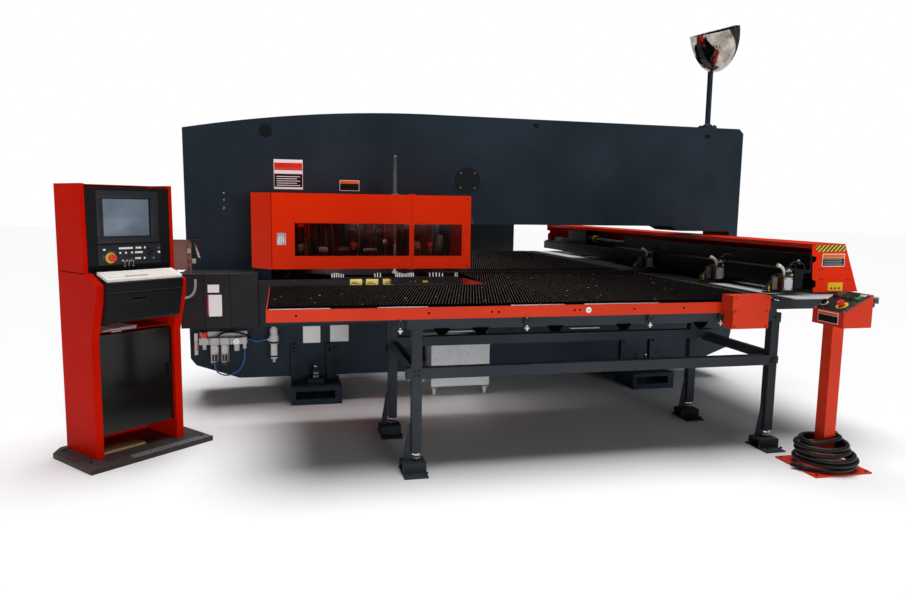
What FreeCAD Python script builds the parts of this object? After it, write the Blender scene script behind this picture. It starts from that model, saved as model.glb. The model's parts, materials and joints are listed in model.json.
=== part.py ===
"""Turret punch press with a closed bridge frame, brush tables, clamp carriage, console and pedestal.

Millimetres. Working axes: X runs along the frame to the right, Y from front to back, Z up from the floor.
X = 0 is the frame's left end and Y = 0 its front plate. Every solid is moved at the end so that the origin
lies on the floor, at the centre of the footprint.
"""
import FreeCAD
import Part
import math
import os
from FreeCAD import Vector

# ---------------------------------------------------------------- driving dimensions
# machine frame: two side plates joined by webs, closed round the throat
frame_length = 4530.0
frame_depth = 400.0
frame_top = 2164.0
frame_left_top = 1998.0
frame_underside = 160.0
frame_wall = 30.0
throat_floor = 780.0
throat_roof = 1330.0
throat_left = 2170.0
throat_end_wall = 80.0
retract_roof = 1290.0
retract_left = frame_length - 562.0
bay_left = 600.0
bay_roof = 1420.0
roof_chamfer_run = 84.0
foot_x = (735.0, frame_length - 1065.0)
foot_width = 367.0
foot_reach = 270.0
foot_height = 130.0
strap_height = 410.0
strap_width = 48.0
access_hole_r = 80.0
access_cover_r = 100.0
access_cover_x = 2104.0
access_cover_z = 1671.0

# sheet level, brush tables and side plates
fascia_top = 923.0
deck_thickness = 12.0
brush_height = 15.0
brush_base = 3.0
brush_pitch = 26.0
table_left = 606.0
table_right = frame_length - 900.0
middle_beam_x = table_right - 830.0
table_front = -1744.0
table_notch_y = -675.0
notch_rows = 56
table_back_gap = 8.0
fascia_right = table_right - 266.0
fascia_height = 65.0
sheet_metal = 6.0
leg_width = 55.0
leg_foot_gap = 107.0
rail_height = 60.0
front_rail_top = 585.0
back_rail_top = 632.0
side_rail_width = 40.0
front_leg_x = (1367.0, table_right - 29.0)
back_leg_x = (1337.0, table_right - 152.0)
back_leg_y = -1050.0
under_beam_height = 50.0
deck_beam_height = 60.0
rear_table_end = 3050.0
side_plate_top = 930.0
side_plate_front = -1690.0
side_plate_right = frame_length - 110.0
corner_box_left = fascia_right - 114.0
corner_box_width = 240.0
corner_box_depth = 150.0
corner_box_top = 972.0
corner_box_height = 196.0

# turrets and tooling
turret_x = 1220.0
turret_y = 200.0
turret_r = 520.0
station_r = 450.0
station_count = 15
punch_guide_r = 34.0
punch_head_r = 23.0
punch_top = 1285.0
upper_turret_bottom = 965.0
upper_turret_thickness = 110.0
guide_top = 1185.0
lower_turret_top = 908.0
lower_turret_thickness = 80.0
die_height = 28.0
die_r = 40.0
die_bore_r = 24.0
die_opening = 30.0
punch_tip_r = 20.0
punch_tip_length = 28.0
hub_r = 95.0
spindle_r = 55.0
fit_clearance = 0.05
seat_gap = 0.3
ram_r = 42.0
ram_stroke = 40.0
ram_housing_r = 105.0

# turret covers
cover_left = 484.0
cover_chamfer_x = 616.0
cover_chamfer_y = 150.0
cover_right = 1967.0
cover_front = -650.0
cover_bottom = 1037.0
cover_top = 1540.0
cover_wall = 3.0
door_right = 1551.0
door_gap = 3.0
door_pin_set_in = 6.5
hinge_pin_r = 5.0
hinge_pin_length = 6.0
hinge_plate = 6.0
door_depth = 22.0
window_left = 766.0
window_right = 1905.0
window_bottom = 1125.0
window_top = 1343.0
window_stile = 15.0
window_thickness = 4.0
latch_left = 651.0
latch_width = 58.0
latch_bottom = 1199.0
latch_height = 77.0
latch_plate = 4.0

# re-gripping cylinder beside the turret
holder_x = 1471.0
holder_y = -400.0
holder_tube_r = 14.0
holder_top = 1812.0
holder_rod_r = 8.0
holder_pad_r = 20.0
holder_stroke = 42.0

# covers low on the frame's front
skirt_reach = 340.0
skirt_bottom = 603.0
apron_drop = 2.0
left_box_top = 975.0
left_box_right = 519.0
notch_guide_thickness = 6.0

# carriage
carriage_front = -1500.0
carriage_end = 3342.0
beam_left = frame_length - 420.0
beam_width = 180.0
beam_bottom = 950.0
beam_height = 160.0
beam_wall = 12.0
bar_left = beam_left - 155.0
bar_width = 80.0
bar_bottom = 962.0
bar_top = 1050.0
bar_end = 3200.0
rail_guide_height = 14.0
rail_guide_width = 40.0
cover_sheet = 3.0
y_rail_left = 2160.0
y_rail_height = 26.0
y_rail_width = 30.0
saddle_web = 24.0
saddle_offset = 77.0
y_stroke = 1850.0
screw_r = 16.0
screw_x = beam_left - 30.0
screw_z = 1135.0
far_housing_start = 2090.0
far_housing_length = 190.0
screw_nose = 165.0
screw_ring = 20.0
motor_length = 320.0
clamp_bar_left = bar_left - 65.0
clamp_bar_plate = 60.0
clamp_bar_front = -1550.0
clamp_bar_end = 1080.0
clamp_bar_bottom = 985.0
clamp_bar_top = 1093.0
back_panel_top = 1195.0
x_stroke = 2200.0
clamp_y = (336.0, -723.0, -1470.0)
clamp_width = 60.0
clamp_jaw_lift = 3.0
clamp_body_height = 121.0
clamp_cylinder_rise = (21.0, 104.0)
clamp_pin_rise = 63.0
clamp_ear_rise = (27.0, 99.0, 114.0)
clamp_reach = 155.0
clamp_jaw_open = 7.0
clamp_pin_r = 6.0
clamp_close_deg = 5.0
clamp_hose_r = 4.0

# console, in its own frame: a along its front, b from front to back
console_origin = Vector(-329.0, -1463.0, 0.0)
console_turn = 40.5
console_base_size = (760.0, 510.0)
console_base_thickness = 28.0
console_left = 99.0
console_width = 546.0
console_side = 45.0
console_back = 468.0
console_foot_front = 133.0
console_height = 1562.0
console_panel = 3.0
console_head_depth = 180.0
console_door_bottom = 150.0
console_door_top = 722.0
console_door_thickness = 12.0
console_door_set_back = 27.0
console_estop_place = (252.0, 1152.0)

# pedestal
pedestal_x = frame_length - 795.0
pedestal_y = -2090.0
pedestal_plate = (372.0, 342.0, 8.0)
pedestal_post = 75.0
pedestal_box_width = 240.0
pedestal_box_depth = 185.0
pedestal_box_bottom = 830.0
pedestal_box_front_top = 912.0
pedestal_box_back_top = 1014.0
pedestal_button_r = 13.0
pedestal_mushroom_r = 20.0
stem_r = 12.0
start_button_r = 14.0
press_depth = 6.0
press_bore_depth = 14.0
estop_place = (66.0, -2128.0)
start_place = (146.0, -2168.0)
selector_place = (62.0, -1996.0)

# pedestal cable
cable_d = 26.0
coil_turns = 5
coil_r_first = 172.0
coil_r_last = 126.0
coil_pitch = 27.2
coil_sides = 6

# mirror, air unit, scrap bin, cabinet
mirror_pole_x = frame_length - 317.0
mirror_pole_y = 50.0
mirror_pole_r = 22.0
mirror_foot = frame_top + 8.0
mirror_pin_r = 10.0
mirror_pivot_z = 2700.0
mirror_r = 212.0
mirror_drop = 330.0
mirror_wall = 4.0
mirror_centre = Vector(mirror_pole_x - 75.0, mirror_pole_y - 112.0, mirror_pivot_z + 226.0)
mirror_pitch_deg = 10.0
mirror_roll_deg = 16.3
air_unit_y = -120.0
air_unit_z = 470.0
lubricator_x = 614.0
air_hose_r = 5.0
bin_left = 1790.0
bin_width = 465.0
bin_depth = 560.0
bin_front = -205.0
bin_bottom = 78.0
bin_top = 408.0
bin_wall = 3.0
cabinet_left = 2620.0
cabinet_right = 3600.0
cabinet_front = 3400.0
cabinet_depth = 440.0
cabinet_height = 1750.0
cabinet_plinth = 90.0

# ---------------------------------------------------------------- values worked out from them
deck_bottom = fascia_top - deck_thickness
table_notch_x = table_left + notch_rows * brush_pitch
sheet_level = fascia_top + brush_height
apron_top = sheet_level - apron_drop
rest_pad_top = sheet_level
frame_back = frame_depth
throat_right = frame_length - throat_end_wall
throat_floor_y = (0.0, frame_depth)
under_beam_top = deck_bottom - deck_beam_height
punch_x = turret_x + station_r
upper_turret_top = upper_turret_bottom + upper_turret_thickness
window_split = door_right + door_gap / 2
nodes = {}
cord_nodes = ("cable_coil", "cable_connector")


# ---------------------------------------------------------------- helpers
def block(x0, x1, y0, y1, z0, z1):
    """Box between two corners."""
    return Part.makeBox(x1 - x0, y1 - y0, z1 - z0, Vector(x0, y0, z0))


def rod(x, y, z0, z1, r):
    """Upright round bar."""
    return Part.makeCylinder(r, z1 - z0, Vector(x, y, z0))


def rod_along(start, end, r):
    """Round bar between two points."""
    run = end - start
    return Part.makeCylinder(r, run.Length, start, run)


def face_of(points):
    """Flat face inside a closed outline."""
    return Part.Face(Part.makePolygon(list(points) + [points[0]]))


def prism_y(outline, y0, y1):
    """Outline in X and Z, extruded along Y."""
    return face_of([Vector(x, y0, z) for x, z in outline]).extrude(Vector(0, y1 - y0, 0))


def prism_x(outline, x0, x1):
    """Outline in Y and Z, extruded along X."""
    return face_of([Vector(x0, y, z) for y, z in outline]).extrude(Vector(x1 - x0, 0, 0))


def prism_z(outline, z0, z1):
    """Outline in X and Y, extruded upward."""
    return face_of([Vector(x, y, z0) for x, y in outline]).extrude(Vector(0, 0, z1 - z0))


def join(shapes):
    """One solid from touching shapes."""
    whole = shapes[0].multiFuse(shapes[1:])
    return whole.removeSplitter()


def group(shapes):
    """Separate solids kept together in one node."""
    return Part.makeCompound(shapes)


def console_place(shape):
    """Moves a shape from the console's own frame to its place on the floor."""
    turned = shape.copy()
    turned.rotate(Vector(0, 0, 0), Vector(0, 0, 1), console_turn)
    turned.translate(console_origin)
    return turned


# ---------------------------------------------------------------- machine frame
def frame_outline():
    """Side view of the frame with its arched top and cut corners."""
    y = 0.0
    arch_from = Vector(0, y, frame_left_top)
    arch_mid = Vector(0.21 * frame_length, y, frame_left_top + 0.79 * (frame_top - frame_left_top))
    arch_to = Vector(0.42 * frame_length, y, frame_top)
    corners = [
        arch_to,
        Vector(frame_length - 40, y, frame_top - 6),
        Vector(frame_length, y, frame_top - 44),
        Vector(frame_length, y, frame_underside + 270),
        Vector(frame_length - 26, y, frame_underside + 115),
        Vector(frame_length - 242, y, frame_underside + 34),
        Vector(frame_length - 300, y, frame_underside),
        Vector(360, y, frame_underside),
        Vector(52, y, frame_underside + 108),
        Vector(13, y, frame_underside + 162),
        arch_from,
    ]
    edges = [Part.Arc(arch_from, arch_mid, arch_to).toShape()]
    for a, b in zip(corners, corners[1:]):
        edges.append(Part.LineSegment(a, b).toShape())
    return Part.Wire(edges)


def throat_outline():
    """Opening through both plates: turret bay on the left, carriage bay on the right."""
    points = [
        (bay_left, throat_floor),
        (throat_right, throat_floor),
        (throat_right, retract_roof),
        (retract_left, retract_roof),
        (retract_left - roof_chamfer_run, throat_roof),
        (throat_left, throat_roof),
        (throat_left - 25, throat_roof + 72),
        (throat_left - 60, bay_roof),
        (bay_left, bay_roof),
    ]
    corners = [Vector(x, 0, z) for x, z in points]
    return Part.makePolygon(corners + [corners[0]])


def machine_frame():
    ring = Part.Face([frame_outline(), throat_outline()])
    body = ring.extrude(Vector(0, frame_depth, 0))
    inner = ring.makeOffset2D(-frame_wall)
    inner.translate(Vector(0, frame_wall, 0))
    hollow = inner.extrude(Vector(0, frame_depth - 2 * frame_wall, 0))
    body = body.cut(hollow)
    cuts = [rod_along(Vector(access_cover_x, -1, access_cover_z),
                      Vector(access_cover_x, frame_wall + 1, access_cover_z), access_hole_r)]
    for left in (0.56, 0.76):
        x = left * frame_length
        cuts.append(block(x, x + 560, frame_depth - frame_wall - 1, frame_depth + 1,
                          throat_roof + 200, throat_roof + 560))
    cuts.append(block(bin_left - 40, bin_left + bin_width + 40, -1, frame_depth + 1,
                      frame_underside - 1, bin_top + 60))
    spindle_bore = spindle_r + fit_clearance
    cuts.append(rod(turret_x, turret_y, throat_floor - frame_wall - 1, throat_floor + 1, spindle_bore))
    cuts.append(rod(turret_x, turret_y, bay_roof - 1, bay_roof + frame_wall + 1, spindle_bore))
    body = body.cut(group(cuts))
    rails = []
    for y in (saddle_offset, frame_depth - saddle_offset):
        rails.append(block(y_rail_left, throat_right, y - y_rail_width / 2, y + y_rail_width / 2,
                           throat_floor, throat_floor + y_rail_height))
    return join([body] + rails)


def frame_foot(x, front):
    """Floor box with a lifting pocket, two straps up the frame's face and a levelling screw."""
    y_out = -foot_reach if front else frame_depth + foot_reach
    y_in = 90.0 if front else frame_depth - 90.0
    y0, y1 = min(y_out, y_in), max(y_out, y_in)
    box_part = block(x, x + foot_width, y0, y1, 0, foot_height)
    pocket = block(x + 31, x + foot_width - 51, y0 - 1, y1 + 1, 41, 102)
    wall_y = (-30.0, 0.0) if front else (frame_depth, frame_depth + 30.0)
    straps = []
    for left in (x, x + foot_width - 100):
        strap = block(left, left + strap_width, wall_y[0], wall_y[1], foot_height, strap_height)
        slot = block(left + 14, left + strap_width - 14, wall_y[0] - 1, wall_y[1] + 1,
                     strap_height - 60, strap_height - 18)
        straps.append(strap.cut(slot))
    shim_y = (0.0, 90.0) if front else (frame_depth - 90.0, frame_depth)
    shim = block(x + 30, x + foot_width - 30, shim_y[0], shim_y[1], foot_height, frame_underside)
    screw_y = -110.0 if front else frame_depth + 110.0
    mid = x + foot_width / 2
    screw = rod(mid, screw_y, foot_height, foot_height + 120, 14)
    lug = block(mid - 60, mid + 60, min(screw_y, wall_y[0]) - 25, max(screw_y, wall_y[1]) + 25,
                foot_height, foot_height + 30)
    return join([box_part.cut(pocket), shim, lug, screw] + straps)


def frame_feet():
    return group([frame_foot(x, front) for x in foot_x for front in (True, False)])


def frame_covers():
    """Round access cover and two round plugs on the frame's front plate."""
    pieces = [rod_along(Vector(access_cover_x, -8, access_cover_z),
                        Vector(access_cover_x, 0, access_cover_z), access_cover_r)]
    plug = rod_along(Vector(576, -12, 1993), Vector(576, 0, 1993), 46)
    slot = block(576 - 38, 576 + 38, -13, -6, 1993 - 5, 1993 + 5)
    pieces.append(plug.cut(slot))
    return group(pieces)


# ---------------------------------------------------------------- turret covers
def cover_plan(inset):
    """Plan of the front cover: left side, chamfer, front and right side."""
    return [
        (cover_left + inset, 0.0),
        (cover_left + inset, cover_front + cover_chamfer_y + 0.45 * inset),
        (cover_chamfer_x + 0.4 * inset, cover_front + inset),
        (cover_right - inset, cover_front + inset),
        (cover_right - inset, 0.0),
    ]


def window_opening(x0, x1, y0, y1):
    return block(x0, x1, y0, y1, window_bottom, window_top)


def turret_cover():
    shell = prism_z(cover_plan(0), cover_bottom, cover_top)
    room = prism_z(cover_plan(cover_wall), cover_bottom - 1, cover_top - cover_wall)
    shell = shell.cut(room)
    shell = shell.cut(block(cover_chamfer_x, door_right + door_gap / 2, cover_front - 1,
                            cover_front + cover_wall + 1, cover_bottom - 1, cover_top + 1))
    shell = shell.cut(block(cover_chamfer_x, door_right + door_gap / 2, cover_front - 1,
                            cover_front + door_depth + 2, cover_top - cover_wall - 1, cover_top + 1))
    shell = shell.cut(window_opening(door_right + window_stile, window_right,
                                     cover_front - 1, cover_front + cover_wall + 1))
    shell = shell.cut(rod(holder_x, holder_y, cover_top - cover_wall - 1, cover_top + 1,
                          holder_tube_r + fit_clearance))
    post_x = door_right + door_gap / 2
    post = block(post_x, post_x + 12, cover_front + cover_wall, cover_front + door_depth,
                 cover_bottom, cover_top - cover_wall)
    pin_x, pin_y = door_pin()
    plates = [block(pin_x - 9, post_x + 24, cover_front, cover_front + door_depth + 14,
                    cover_top, cover_top + hinge_plate),
              block(pin_x - 9, post_x + 12, cover_front, cover_front + door_depth,
                    cover_bottom - hinge_plate, cover_bottom)]
    pin_bore = rod(pin_x, pin_y, cover_bottom - hinge_plate - 1, cover_top + hinge_plate + 1,
                   hinge_pin_r + fit_clearance)
    return join([shell, post] + plates).cut(pin_bore)


def door_pin():
    """Hinge line of the turret door, set in from its right front corner."""
    return door_right - door_gap / 2 - door_pin_set_in, cover_front + door_pin_set_in


def turret_door():
    left = cover_chamfer_x + door_gap
    right = door_right - door_gap / 2
    back = cover_front + door_depth
    low, high = cover_bottom + seat_gap, cover_top - seat_gap
    pan = block(left, right, cover_front, back, low, high)
    room = block(left + cover_wall, right - cover_wall, cover_front + cover_wall, back + 1,
                 low + cover_wall, high - cover_wall)
    pan = pan.cut(room)
    pan = pan.cut(window_opening(window_left, right - window_stile, cover_front - 1,
                                 cover_front + cover_wall + 1))
    stay = block(window_left - 40, window_left - 34, cover_front + cover_wall, back,
                 low + cover_wall, high - cover_wall)
    pin_x, pin_y = door_pin()
    pins = [rod(pin_x, pin_y, high - cover_wall, high + hinge_pin_length, hinge_pin_r),
            rod(pin_x, pin_y, low - hinge_pin_length, low + cover_wall, hinge_pin_r)]
    return join([pan, stay] + pins)


def door_window():
    right = door_right - door_gap / 2 - window_stile
    y0 = cover_front + cover_wall
    return block(window_left - 14, right + 8, y0, y0 + window_thickness,
                 window_bottom - 14, window_top + 14)


def side_window():
    y0 = cover_front + cover_wall
    return block(door_right + door_gap / 2 + 13, window_right + 14, y0, y0 + window_thickness,
                 window_bottom - 14, window_top + 14)


def door_latch():
    """Latch paddle that lifts out from the door about its left edge."""
    y1 = cover_front
    hinge = rod(latch_left + latch_plate / 2, y1 - latch_plate / 2, latch_bottom,
                latch_bottom + latch_height, latch_plate / 2)
    plate = block(latch_left + latch_plate / 2, latch_left + latch_width, y1 - latch_plate, y1,
                  latch_bottom, latch_bottom + latch_height)
    paddle = block(latch_left + 30, latch_left + latch_width - 6, y1 - latch_plate - 9,
                   y1 - latch_plate, latch_bottom + 8, latch_bottom + latch_height - 8)
    return join([hinge, plate, paddle])


def rear_turret_cover():
    """Plain cover behind the frame, round the back of both turrets."""
    back = frame_depth - cover_front
    outer = [
        (cover_left, frame_back),
        (cover_left, back - cover_chamfer_y),
        (cover_chamfer_x, back),
        (cover_right - 60, back),
        (cover_right - 60, frame_back),
    ]
    inner = [
        (cover_left + cover_wall, frame_back - 1),
        (cover_left + cover_wall, back - cover_chamfer_y - cover_wall * 0.45),
        (cover_chamfer_x + cover_wall * 0.4, back - cover_wall),
        (cover_right - 60 - cover_wall, back - cover_wall),
        (cover_right - 60 - cover_wall, frame_back - 1),
    ]
    shell = prism_z(outer, cover_bottom, cover_top)
    return shell.cut(prism_z(inner, cover_bottom - 1, cover_top - cover_wall))


# ---------------------------------------------------------------- turrets and tooling
def station_points():
    """Station centres on the turret circle; the first is the one under the ram."""
    step = 2 * math.pi / station_count
    return [(turret_x + station_r * math.cos(k * step), turret_y + station_r * math.sin(k * step))
            for k in range(station_count)]


def upper_turret():
    disc = rod(turret_x, turret_y, upper_turret_bottom, upper_turret_top, turret_r)
    hub = rod(turret_x, turret_y, upper_turret_top, bay_roof - 8, hub_r)
    spindle = rod(turret_x, turret_y, bay_roof - 8, bay_roof + frame_wall + 40, spindle_r)
    body = join([disc, hub, spindle])
    bores = [rod(x, y, upper_turret_bottom - 1, upper_turret_top + 1, punch_guide_r)
             for x, y in station_points()[1:]]
    x, y = station_points()[0]
    bores.append(rod(x, y, upper_turret_bottom - 1, upper_turret_top + 1,
                     punch_guide_r + fit_clearance))
    return body.cut(group(bores))


def die_bore():
    """Slug passage through the lower turret under the ram."""
    x, y = station_points()[0]
    return rod(x, y, lower_turret_top - lower_turret_thickness - 1, lower_turret_top + 1, die_bore_r)


def lower_turret():
    bottom = lower_turret_top - lower_turret_thickness
    disc = rod(turret_x, turret_y, bottom, lower_turret_top, turret_r)
    hub = rod(turret_x, turret_y, throat_floor + 8, bottom, hub_r)
    spindle = rod(turret_x, turret_y, throat_floor - frame_wall - 40, throat_floor + 8, spindle_r)
    return join([disc, hub, spindle]).cut(die_bore())


def die_set():
    """Dies seated on the lower turret: a round opening under the ram, square ones elsewhere."""
    dies = []
    top = lower_turret_top + die_height
    for number, (x, y) in enumerate(station_points()):
        die = rod(x, y, lower_turret_top, top, die_r)
        if number == 0:
            opening = rod(x, y, lower_turret_top - 1, top + 1, die_bore_r)
        else:
            half = die_opening / 2
            opening = block(x - half, x + half, y - half, y + half, lower_turret_top - 1, top + 1)
        dies.append(die.cut(opening))
    return group(dies)


def punch(x, y, guide_r):
    """Punch assembly under the ram: tip, guide body and striking head."""
    tip = upper_turret_bottom + 2
    guide_bottom = tip + punch_tip_length
    return join([rod(x, y, tip, guide_bottom, punch_tip_r), rod(x, y, guide_bottom, guide_top, guide_r),
                 rod(x, y, guide_top, punch_top, punch_head_r)])


def punch_set():
    """Punches waiting in the stations: guide flush with the turret's underside, and head."""
    tip = upper_turret_bottom + 2
    return group([join([rod(x, y, tip, guide_top, punch_guide_r),
                        rod(x, y, guide_top, punch_top, punch_head_r)])
                  for x, y in station_points()[1:]])


def active_punch():
    x, y = station_points()[0]
    return punch(x, y, punch_guide_r)


def striker_ram():
    top = bay_roof + 60.0
    return join([rod(punch_x, turret_y, punch_top + seat_gap, top, ram_r),
                 rod(punch_x, turret_y, top, top + 30, ram_r + 14)])


def ram_housing():
    """Hydraulic head bolted under the roof of the turret bay."""
    bottom = throat_roof + 10.0
    outer = rod(punch_x, turret_y, bottom, bay_roof, ram_housing_r)
    flange = block(punch_x - 170, punch_x + 230, frame_wall + 6, frame_depth - frame_wall - 6,
                   bay_roof - 26, bay_roof)
    body = join([outer, flange])
    return body.cut(rod(punch_x, turret_y, bottom - 1, bay_roof + 1, ram_r + fit_clearance))


def ram_passage():
    """Clearance through the bay roof for the ram and its piston."""
    return rod(punch_x, turret_y, bay_roof - 1, bay_roof + frame_wall + 1, ram_r + 20)


# ---------------------------------------------------------------- re-gripping cylinder
def work_holder_cylinder():
    bottom = cover_bottom + 160.0
    tube = rod(holder_x, holder_y, bottom, holder_top, holder_tube_r)
    cap = rod(holder_x, holder_y, holder_top, holder_top + 6, holder_tube_r + 3)
    flange = block(holder_x - 30, holder_x + 30, holder_y - 30, holder_y + 30,
                   cover_top, cover_top + 8)
    stay = block(holder_x - 18, holder_x + 18, holder_y, 0, bay_roof + 20, bay_roof + 60)
    bore = rod(holder_x, holder_y, bottom - 1, holder_top - 60, holder_rod_r + fit_clearance)
    return join([tube, cap, flange, stay]).cut(bore)


def work_holder_rod():
    pad_bottom = rest_pad_top + holder_stroke + 4
    shaft = rod(holder_x, holder_y, pad_bottom, holder_top - 160, holder_rod_r)
    pad = rod(holder_x, holder_y, pad_bottom, pad_bottom + 14, holder_pad_r)
    return join([shaft, pad])


# ---------------------------------------------------------------- low front covers
def lower_front_cover():
    """Box at the left, apron under the turret, rest pad and notch guide."""
    box_left = 0.0
    left = block(box_left, left_box_right, -skirt_reach, 0, skirt_bottom, left_box_top)
    left = left.cut(block(box_left + 3, left_box_right - 3, -skirt_reach + 3, 1,
                          skirt_bottom - 1, left_box_top - 3))
    apron_right = table_notch_x - 60
    apron = block(left_box_right + 2, apron_right, -skirt_reach, -skirt_reach + 4,
                  skirt_bottom, apron_top)
    end = block(apron_right - 4, apron_right, -skirt_reach + 4, 0, skirt_bottom, throat_floor)
    foot = block(left_box_right + 2, apron_right, -skirt_reach + 4, 0, skirt_bottom, skirt_bottom + 4)
    pad = block(holder_x - 24, holder_x + 24, holder_y - 24, -skirt_reach, rest_pad_top - 34,
                rest_pad_top)
    return group([left, join([apron, end, foot, pad])])


def notch_guide():
    """Plan of the guide strip from the table's notch corner to the apron's end."""
    near = table_notch_x - notch_guide_thickness
    far = table_notch_x - 68
    back = -skirt_reach - 2
    return [(near, table_notch_y), (near + notch_guide_thickness, table_notch_y),
            (far + notch_guide_thickness, back), (far, back)]


# ---------------------------------------------------------------- brush tables
def brush_comb(x0, x1, y0, y1):
    """Brush strips on a thin base, side by side along X and running in Y."""
    base = fascia_top
    foot = base + brush_base
    tip = base + brush_height
    count = int((x1 - x0) // brush_pitch)
    outline = [(x0, base)]
    for k in range(count):
        left = x0 + k * brush_pitch
        outline += [(left, foot), (left + brush_pitch / 2, tip)]
    outline += [(x1, foot), (x1, base)]
    return prism_y(outline, y0, y1)


def front_deck_back():
    return saddle_offset - saddle_web / 2 - table_back_gap - 9


def front_brushes():
    left = brush_comb(table_left, table_notch_x, table_front + 6, table_notch_y)
    right = brush_comb(table_notch_x, table_right, table_front + 6, front_deck_back())
    return left.fuse(right).removeSplitter()


def rear_brushes():
    left = brush_comb(table_left, table_notch_x, frame_depth - table_notch_y, rear_table_end)
    right = brush_comb(table_notch_x, table_right, frame_depth - front_deck_back(), rear_table_end)
    return left.fuse(right).removeSplitter()


def leg(x, y, top):
    return block(x, x + leg_width, y, y + leg_width, leg_foot_gap, top)


def front_table_frame():
    """Welded stand: deck plate, beams, four legs and their rails."""
    back = front_deck_back()
    deck = prism_z([(table_left, table_front + 6), (table_right, table_front + 6), (table_right, back),
                    (table_notch_x, back), (table_notch_x, table_notch_y),
                    (table_left, table_notch_y)], deck_bottom, fascia_top)
    front_y = table_front + 6
    parts = [deck]
    beam_z = (under_beam_top, deck_bottom)
    parts.append(block(table_left, table_right, front_y, front_y + 50, *beam_z))
    parts.append(block(table_left, table_notch_x, table_notch_y - 50, table_notch_y, *beam_z))
    for x in (table_left, back_leg_x[0] + 3, table_notch_x, middle_beam_x, table_right - 60):
        end = back if x >= table_notch_x else table_notch_y
        parts.append(block(x, x + 60, front_y, end, *beam_z))
    parts.append(block(table_notch_x, table_right, back - 50, back, *beam_z))
    for x in (table_notch_x + 10, middle_beam_x, table_right - 50):
        parts.append(block(x, x + 40, 4, 40, throat_floor, under_beam_top))
    low = under_beam_top - under_beam_height
    beam_ends = (back_leg_x[0], front_leg_x[1] + leg_width)
    for y in (front_y, back_leg_y):
        parts.append(block(*beam_ends, y, y + leg_width, low, under_beam_top))
    for x, y in front_leg_places():
        parts.append(leg(x, y, low))
    for y, top in ((front_y, front_rail_top), (back_leg_y, back_rail_top)):
        parts.append(block(*beam_ends, y, y + leg_width, top - rail_height, top))
    rail_z = (back_rail_top - rail_height - 24, front_rail_top + 20)
    for x in (front_leg_x[0] - 8, front_leg_x[1] + 6):
        for z0, z1 in (rail_z, (low, under_beam_top)):
            parts.append(block(x, x + side_rail_width, front_y, back_leg_y + leg_width, z0, z1))
    arm_z = (side_plate_top - 66, side_plate_top - 6)
    for y in (side_plate_front, -60.0):
        parts.append(block(table_right, side_plate_right - 30, y, y + 50, *arm_z))
    return join(parts)


def front_leg_places():
    front = [(x, table_front + 6) for x in front_leg_x]
    return front + [(x, back_leg_y) for x in back_leg_x]


def rear_leg_places():
    return [(x, y) for x in front_leg_x for y in (1500.0, rear_table_end - 80)]


def table_foot(x, y):
    """Anchor channel on the floor with its upright gusset, levelling stud, nut and washer."""
    x0, x1 = x - 57, x + leg_width + 22
    base = block(x0, x1, y - 110, y + leg_width + 45, 0, 8)
    web = block(x0, x1, y - 40, y + leg_width + 15, 8, 62)
    web = web.cut(block(x0 - 1, x1 + 1, y - 28, y + leg_width + 3, 8, 52))
    gusset = prism_y([(x - 46, 62), (x - 4, 62), (x - 4, 274), (x - 12, 274)], y + 20, y + 32)
    cx, cy = x + leg_width / 2, y + leg_width / 2
    stud = polygon_bar(cx, cy, 62, leg_foot_gap, 10, 8)
    return join([base, web, gusset, stud, polygon_bar(cx, cy, 74, 88, 19, 6)])


def polygon_bar(x, y, z0, z1, r, sides):
    """Upright bar with a regular section, such as a nut or a stud."""
    step = 2 * math.pi / sides
    corners = [(x + r * math.cos(k * step), y + r * math.sin(k * step)) for k in range(sides)]
    return prism_z(corners, z0, z1)


def table_feet():
    return group([table_foot(x, y) for x, y in front_leg_places() + rear_leg_places()])


def front_fascia():
    """Red edge of the front table, folded round its left end."""
    top = fascia_top
    bottom = fascia_top - fascia_height
    front = block(table_left - sheet_metal, fascia_right, table_front, table_front + sheet_metal,
                  bottom, top)
    left = block(table_left - sheet_metal, table_left, table_front, table_notch_y, bottom, top)
    guide = prism_z(notch_guide(), under_beam_top, apron_top)
    return group([join([front, left]), guide])


def corner_box():
    """Red box over the end of the fascia, with a lid overhanging its body."""
    x0, x1 = corner_box_left, corner_box_left + corner_box_width
    y0, y1 = -1850.0, table_front
    bottom = corner_box_top - corner_box_height
    lid_bottom = corner_box_top - 78
    lid = block(x0 - 8, x1 + 4, y0 - 4, y1, lid_bottom, corner_box_top)
    body = block(x0, x1, y0, y1, bottom, lid_bottom)
    return join([lid, body])


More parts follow.
